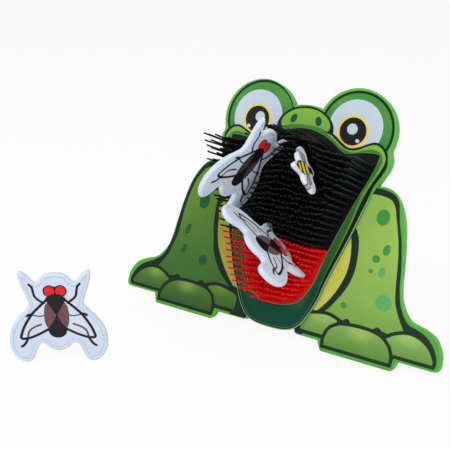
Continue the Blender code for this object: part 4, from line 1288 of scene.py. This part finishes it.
def bristle_mesh(name, outline, lines, finish, backing):
    """A backing slab with its bristles: round strands with domed tips."""
    verts, faces = [], []
    angles = [math.tau * k / STRAND_SIDES for k in range(STRAND_SIDES)]
    unit = [(math.cos(angle), math.sin(angle)) for angle in angles]
    for line in lines:
        start = len(verts)
        points = [np.array(point) for point in line]
        rings = [(points[0] - np.array((0, 0, ROOT_SINK)), STRAND_RADIUS * 1.25)]
        for index, point in enumerate(points):
            taper = 1.05 - 0.06 * index / (len(points) - 1)
            rings.append((point, STRAND_RADIUS * taper))
        way = points[-1] - points[-2]
        way = way / np.linalg.norm(way)
        for out, radius in ((0.30, 0.88), (0.52, 0.60)):
            rings.append((points[-1] + way * STRAND_RADIUS * out, STRAND_RADIUS * radius * 0.94))
        count = len(rings)
        for index, (middle, radius) in enumerate(rings):
            before = rings[max(index - 1, 0)][0]
            after = rings[min(index + 1, count - 1)][0]
            axis = after - before
            axis = axis / np.linalg.norm(axis)
            side = np.cross(axis, (0, 1, 0))
            side = side / np.linalg.norm(side)
            other = np.cross(axis, side)
            for c, s in unit:
                verts.append(tuple(middle + radius * (c * side + s * other)))
        verts.append(tuple(points[-1] + way * STRAND_RADIUS * 0.62))
        for index in range(count - 1):
            base = start + index * STRAND_SIDES
            for k in range(STRAND_SIDES):
                j = (k + 1) % STRAND_SIDES
                faces.append((base + k, base + STRAND_SIDES + k, base + STRAND_SIDES + j, base + j))
        base = start + (count - 1) * STRAND_SIDES
        tip = len(verts) - 1
        for k in range(STRAND_SIDES):
            faces.append((base + k, tip, base + (k + 1) % STRAND_SIDES))
        faces.append(tuple(range(start, start + STRAND_SIDES)))
    strand_faces = len(faces)
    start = len(verts)
    count = len(outline)
    verts += [(point.x, point.y, SEAT_GAP) for point in outline]
    verts += [(point.x, point.y, MAT_FACE) for point in outline]
    faces.append(tuple(range(start, start + count)))
    faces.append(tuple(reversed(range(start + count, start + 2 * count))))
    for k in range(count):
        j = (k + 1) % count
        faces.append((start + k, start + count + k, start + count + j, start + j))
    slab = [index >= strand_faces for index in range(len(faces))]
    mesh = bpy.data.meshes.new(name)
    mesh.from_pydata(verts, [], faces)
    mesh.materials.append(finish)
    mesh.materials.append(backing)
    mesh.polygons.foreach_set("material_index", [int(flat) for flat in slab])
    mesh.polygons.foreach_set("use_smooth", [not flat for flat in slab])
    work = bmesh.new()
    work.from_mesh(mesh)
    bmesh.ops.recalc_face_normals(work, faces=work.faces)
    work.to_mesh(mesh)
    work.free()
    return mesh


GAME_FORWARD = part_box("body_board")[0].y + TOE_DEPTH * math.tan(LEAN_ANGLE)
BOARD = Matrix.Translation((0, GAME_FORWARD, TOE_DEPTH)) @ Matrix.Rotation(math.pi / 2 - LEAN_ANGLE, 4, "X")
MOUTH = askew(closed(joined([MOUTH_RUN])))
FLY = closed(joined([FLY_RUN], FLY_WIDTH))
BEE_OUTLINE = closed(joined([BEE_RUN], BEE_SPAN))

# Boards
leaf_green = print_ink("leaf_green", ((0, (84, 160, 60)), (1, (96, 178, 70))))
edge_green = edge_paint("board_edge_green", (96, 184, 70), (78, 160, 60))
back_green = edge_paint("board_back_green", (70, 140, 56), (60, 122, 50))
# The head's sides turn dark green low on the jaw: painted shade where the head meets the rear board.
head_side_shaded = edge_paint("head_side_green_painted_shade", (92, 176, 66), (76, 156, 58), low=(42, 92, 42))
# The head's arris turns pale low on the jaw: a painted highlight along the edge.
head_arris_lit = edge_paint("head_arris_painted_highlight", (96, 178, 72), (84, 164, 62), low=(128, 172, 122))
board_spots = [(x * FOOT_SPAN, y * FOOT_SPAN) for x, y in SCREW_SPOTS]
leaf_spots = [(x * HINGE_WIDTH, HINGE_HEIGHT - y * LEAF_LENGTH) for x, y in LEAF_SPOTS]
body_bores = [(spot, HEAD_SCREW_BORE) for spot in board_spots]
body_bores += [(spot, LEAF_SCREW_BORE) for spot in leaf_spots]
head_bores = [(spot, THREAD_BORE) for spot in board_spots]
to_board = BOARD.inverted()
table = (to_board @ Vector((0, 0, 0)), to_board.to_3x3() @ Vector((0, 0, 1)))
rear_mesh = board_mesh(
    "rear_board", body_outline(), [], (edge_green, back_green, leaf_green, edge_green), body_art(), 0.0,
    BODY_THICKNESS, body_bores, table)
add_piece("rear_board", rear_mesh, BOARD, "frog", ("body_board",))
front_mesh = board_mesh(
    "front_board", head_outline(), [MOUTH], (head_side_shaded, back_green, leaf_green, head_arris_lit), head_art(),
    HEAD_FACE, HEAD_THICKNESS, head_bores)
add_piece("front_board", front_mesh, BOARD, "frog", ("head_board",))

# Insects
fly_white = soft_fabric("fly_white_fabric", (214, 226, 243))
# A darker blue grey for the seam crease: painted shade.
seam_shade_cloth = soft_fabric("seam_shade_fabric", (158, 174, 204))
bee_white = soft_fabric("bee_white_fabric", (226, 232, 242))
FLY_BLACK = soft_fabric("fly_black_print", (26, 25, 28), 0.50, 0.0)
FLY_RED = soft_fabric("fly_eye_red_print", (235, 30, 32), 0.50, 0.1)
fly_brown = soft_fabric("fly_brown_print", (113, 76, 80), 0.55, 0.1)
# A darker copy of the fly brown for the upper fly, which lies in shade: painted shade.
shaded_fly_brown = soft_fabric("fly_brown_print_painted_shade", (66, 50, 50), 0.55, 0.1)
fly_print = fly_art(FLY_WIDTH, fly_brown)
shaded_fly_print = fly_art(FLY_WIDTH, shaded_fly_brown)
bee_print = bee_art(BEE_SPAN)


def add_insect(name, outline, thickness, art, cloth, scale, seed, place):
    """A padded insect in place of its two sewn halves."""
    mesh = padded_mesh(name + "_pad", outline, thickness, art, cloth, seam_shade_cloth, scale, seed)
    halves = (name + "_front", name + "_back")
    piece = add_piece(name + "_pad", mesh, place, name, halves)


stuck = []
insects = (
    ("upper_fly", UPPER_FLY, FLY, FLY_THICKNESS, shaded_fly_print, fly_white, 1.0, 3.0),
    ("lower_fly", LOWER_FLY, FLY, FLY_THICKNESS, fly_print, fly_white, 1.0, 4.0),
    ("bee", BEE, BEE_OUTLINE, BEE_THICKNESS, bee_print, bee_white, 0.55, 5.0),
)
for name, setting, outline, thickness, art, cloth, scale, seed in insects:
    place = insect_place(*setting, outline)
    facing = setting[2]
    stuck.append((place, facing, thickness / 2, CLEARING[name], presence(outline, place, facing)))
    add_insect(name, outline, thickness, art, cloth, scale, seed, BOARD @ place)
lowest = min(point.y for point in FLY)
spot = Matrix.Translation((LOOSE_FLY_ACROSS, GAME_FORWARD - LOOSE_FLY_FORWARD, -lowest))
turn = Matrix.Rotation(math.pi / 2 + LOOSE_FLY_FACING, 4, "Z") @ Matrix.Rotation(math.pi / 2, 4, "X")
add_insect("loose_fly", FLY, FLY_THICKNESS, fly_print, fly_white, 1.0, 11.0, spot @ turn)

# Bristles
black_nylon = bristle_plastic("black_nylon", (35, 36, 39), (40, 41, 44))
red_nylon = bristle_plastic("red_nylon", (252, 22, 30), (255, 46, 44))
black_backing = bristle_plastic("black_backing", (16, 16, 18), (24, 24, 27))
red_backing = bristle_plastic("red_backing", (214, 14, 22), (226, 26, 30))
seam = SEAM_SHARE * FOOT_SPAN
mat = grown(MOUTH, -MAT_CLEARANCE)
upper = kept_side(mat, seam + SEAT_GAP / 2, 1)
lower = kept_side(mat, seam - SEAT_GAP / 2, -1)
black_lines = strand_lines(upper, lambda root: root.y > seam + 0.001, stuck, 5)
red_lines = strand_lines(lower, lambda root: root.y < seam - 0.001, stuck, 5)
black_mesh = bristle_mesh("black_bristles", upper, black_lines, black_nylon, black_backing)
add_piece("black_bristles", black_mesh, BOARD, "frog", ("mouth_mat",))
red_mesh = bristle_mesh("red_bristles", lower, red_lines, red_nylon, red_backing)
add_piece("red_bristles", red_mesh, BOARD, "frog", ("tongue_mat",))

# Leg, hinge and screws keep their solids
leg_finish = fibreboard("pressed_fibreboard")
steel_finish = zinc("zinc_plated_steel")
for name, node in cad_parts.items():
    if name == "stand_leg":
        finish = leg_finish
    elif name.startswith(("hinge", "board_screw")):
        finish = steel_finish
    else:
        continue
    for index in range(len(node.data.materials)):
        node.data.materials[index] = finish

# Floor, light and camera
def most(tree, *values):
    """The greatest of some values."""
    result = values[0]
    for value in values[1:]:
        result = calculate(tree, "MAXIMUM", result, value)
    return result


def floor_material():
    """A pale studio floor that stays close to white and keeps the object's shadow."""
    made, tree, shader, _ = new_material("studio_floor", 0.9, 0.0)
    shader.inputs["Base Color"].default_value = (0.90, 0.90, 0.90, 1)
    glow = add_node(tree, "Emission", Strength=1.0, Color=(1, 1, 1, 1))
    ray = add_node(tree, "LightPath").outputs
    seen = most(tree, ray["Is Camera Ray"], ray["Is Glossy Ray"], ray["Is Transmission Ray"])
    share = calculate(tree, "MULTIPLY", seen, 0.90)
    surface = mixed_shader(tree, share, shader, glow)
    tree.links.new(surface, tree.nodes["Material Output"].inputs["Surface"])
    return made


def add_floor(reach, level):
    """A wide square floor under the object."""
    mesh = bpy.data.meshes.new("studio_floor")
    rim = [(x * reach, y * reach, 0) for x, y in ((-1, -1), (1, -1), (1, 1), (-1, 1))]
    mesh.from_pydata(rim, [], [(0, 1, 2, 3)])
    mesh.materials.append(floor_material())
    floor = bpy.data.objects.new("studio_floor", mesh)
    floor.location.z = level
    bpy.context.scene.collection.objects.link(floor)


def add_sky():
    """Soft light from all sides, seen by the camera as plain white."""
    world = bpy.context.scene.world or bpy.data.worlds.new("studio")
    bpy.context.scene.world = world
    world.use_nodes = True
    tree = world.node_tree
    tree.nodes.clear()
    dome = add_node(tree, "Background", Color=(0.97, 0.98, 1.0, 1), Strength=0.62)
    plain = add_node(tree, "Background", Color=(1, 1, 1, 1), Strength=1.0)
    ray = add_node(tree, "LightPath").outputs
    seen = most(tree, ray["Is Camera Ray"], ray["Is Transmission Ray"])
    add_node(tree, "OutputWorld", Surface=mixed_shader(tree, seen, dome, plain))


def area_lamp(name, place, target, size, energy):
    """A soft square lamp that looks at a target."""
    lamp = bpy.data.lights.new(name, "AREA")
    lamp.shape = "SQUARE"
    lamp.size = size
    lamp.energy = energy
    holder = bpy.data.objects.new(name, lamp)
    holder.location = place
    way = Vector(target) - Vector(place)
    holder.rotation_euler = way.to_track_quat("-Z", "Y").to_euler()
    bpy.context.scene.collection.objects.link(holder)


def add_camera():
    """The photo's camera."""
    data = bpy.data.cameras.new("photo_camera")
    data.lens = 61.0
    data.sensor_width = 36.0
    camera = bpy.data.objects.new("photo_camera", data)
    camera.location = (0.4212, GAME_FORWARD - 0.7539, 0.4667)
    camera.rotation_euler = Vector((-0.502449, 0.79183, -0.34718)).to_track_quat("-Z", "Y").to_euler()
    bpy.context.scene.collection.objects.link(camera)
    bpy.context.scene.camera = camera
    bpy.context.scene.view_settings.view_transform = "Standard"


OBJECT_MIDDLE = (0, 0, 0.12)
add_floor(14.0, -0.0004)
add_sky()
area_lamp("key_lamp", (1.3, -1.6, 2.2), OBJECT_MIDDLE, 1.6, 34)
area_lamp("fill_lamp", (-1.9, -1.3, 1.5), OBJECT_MIDDLE, 1.8, 16)
add_camera()
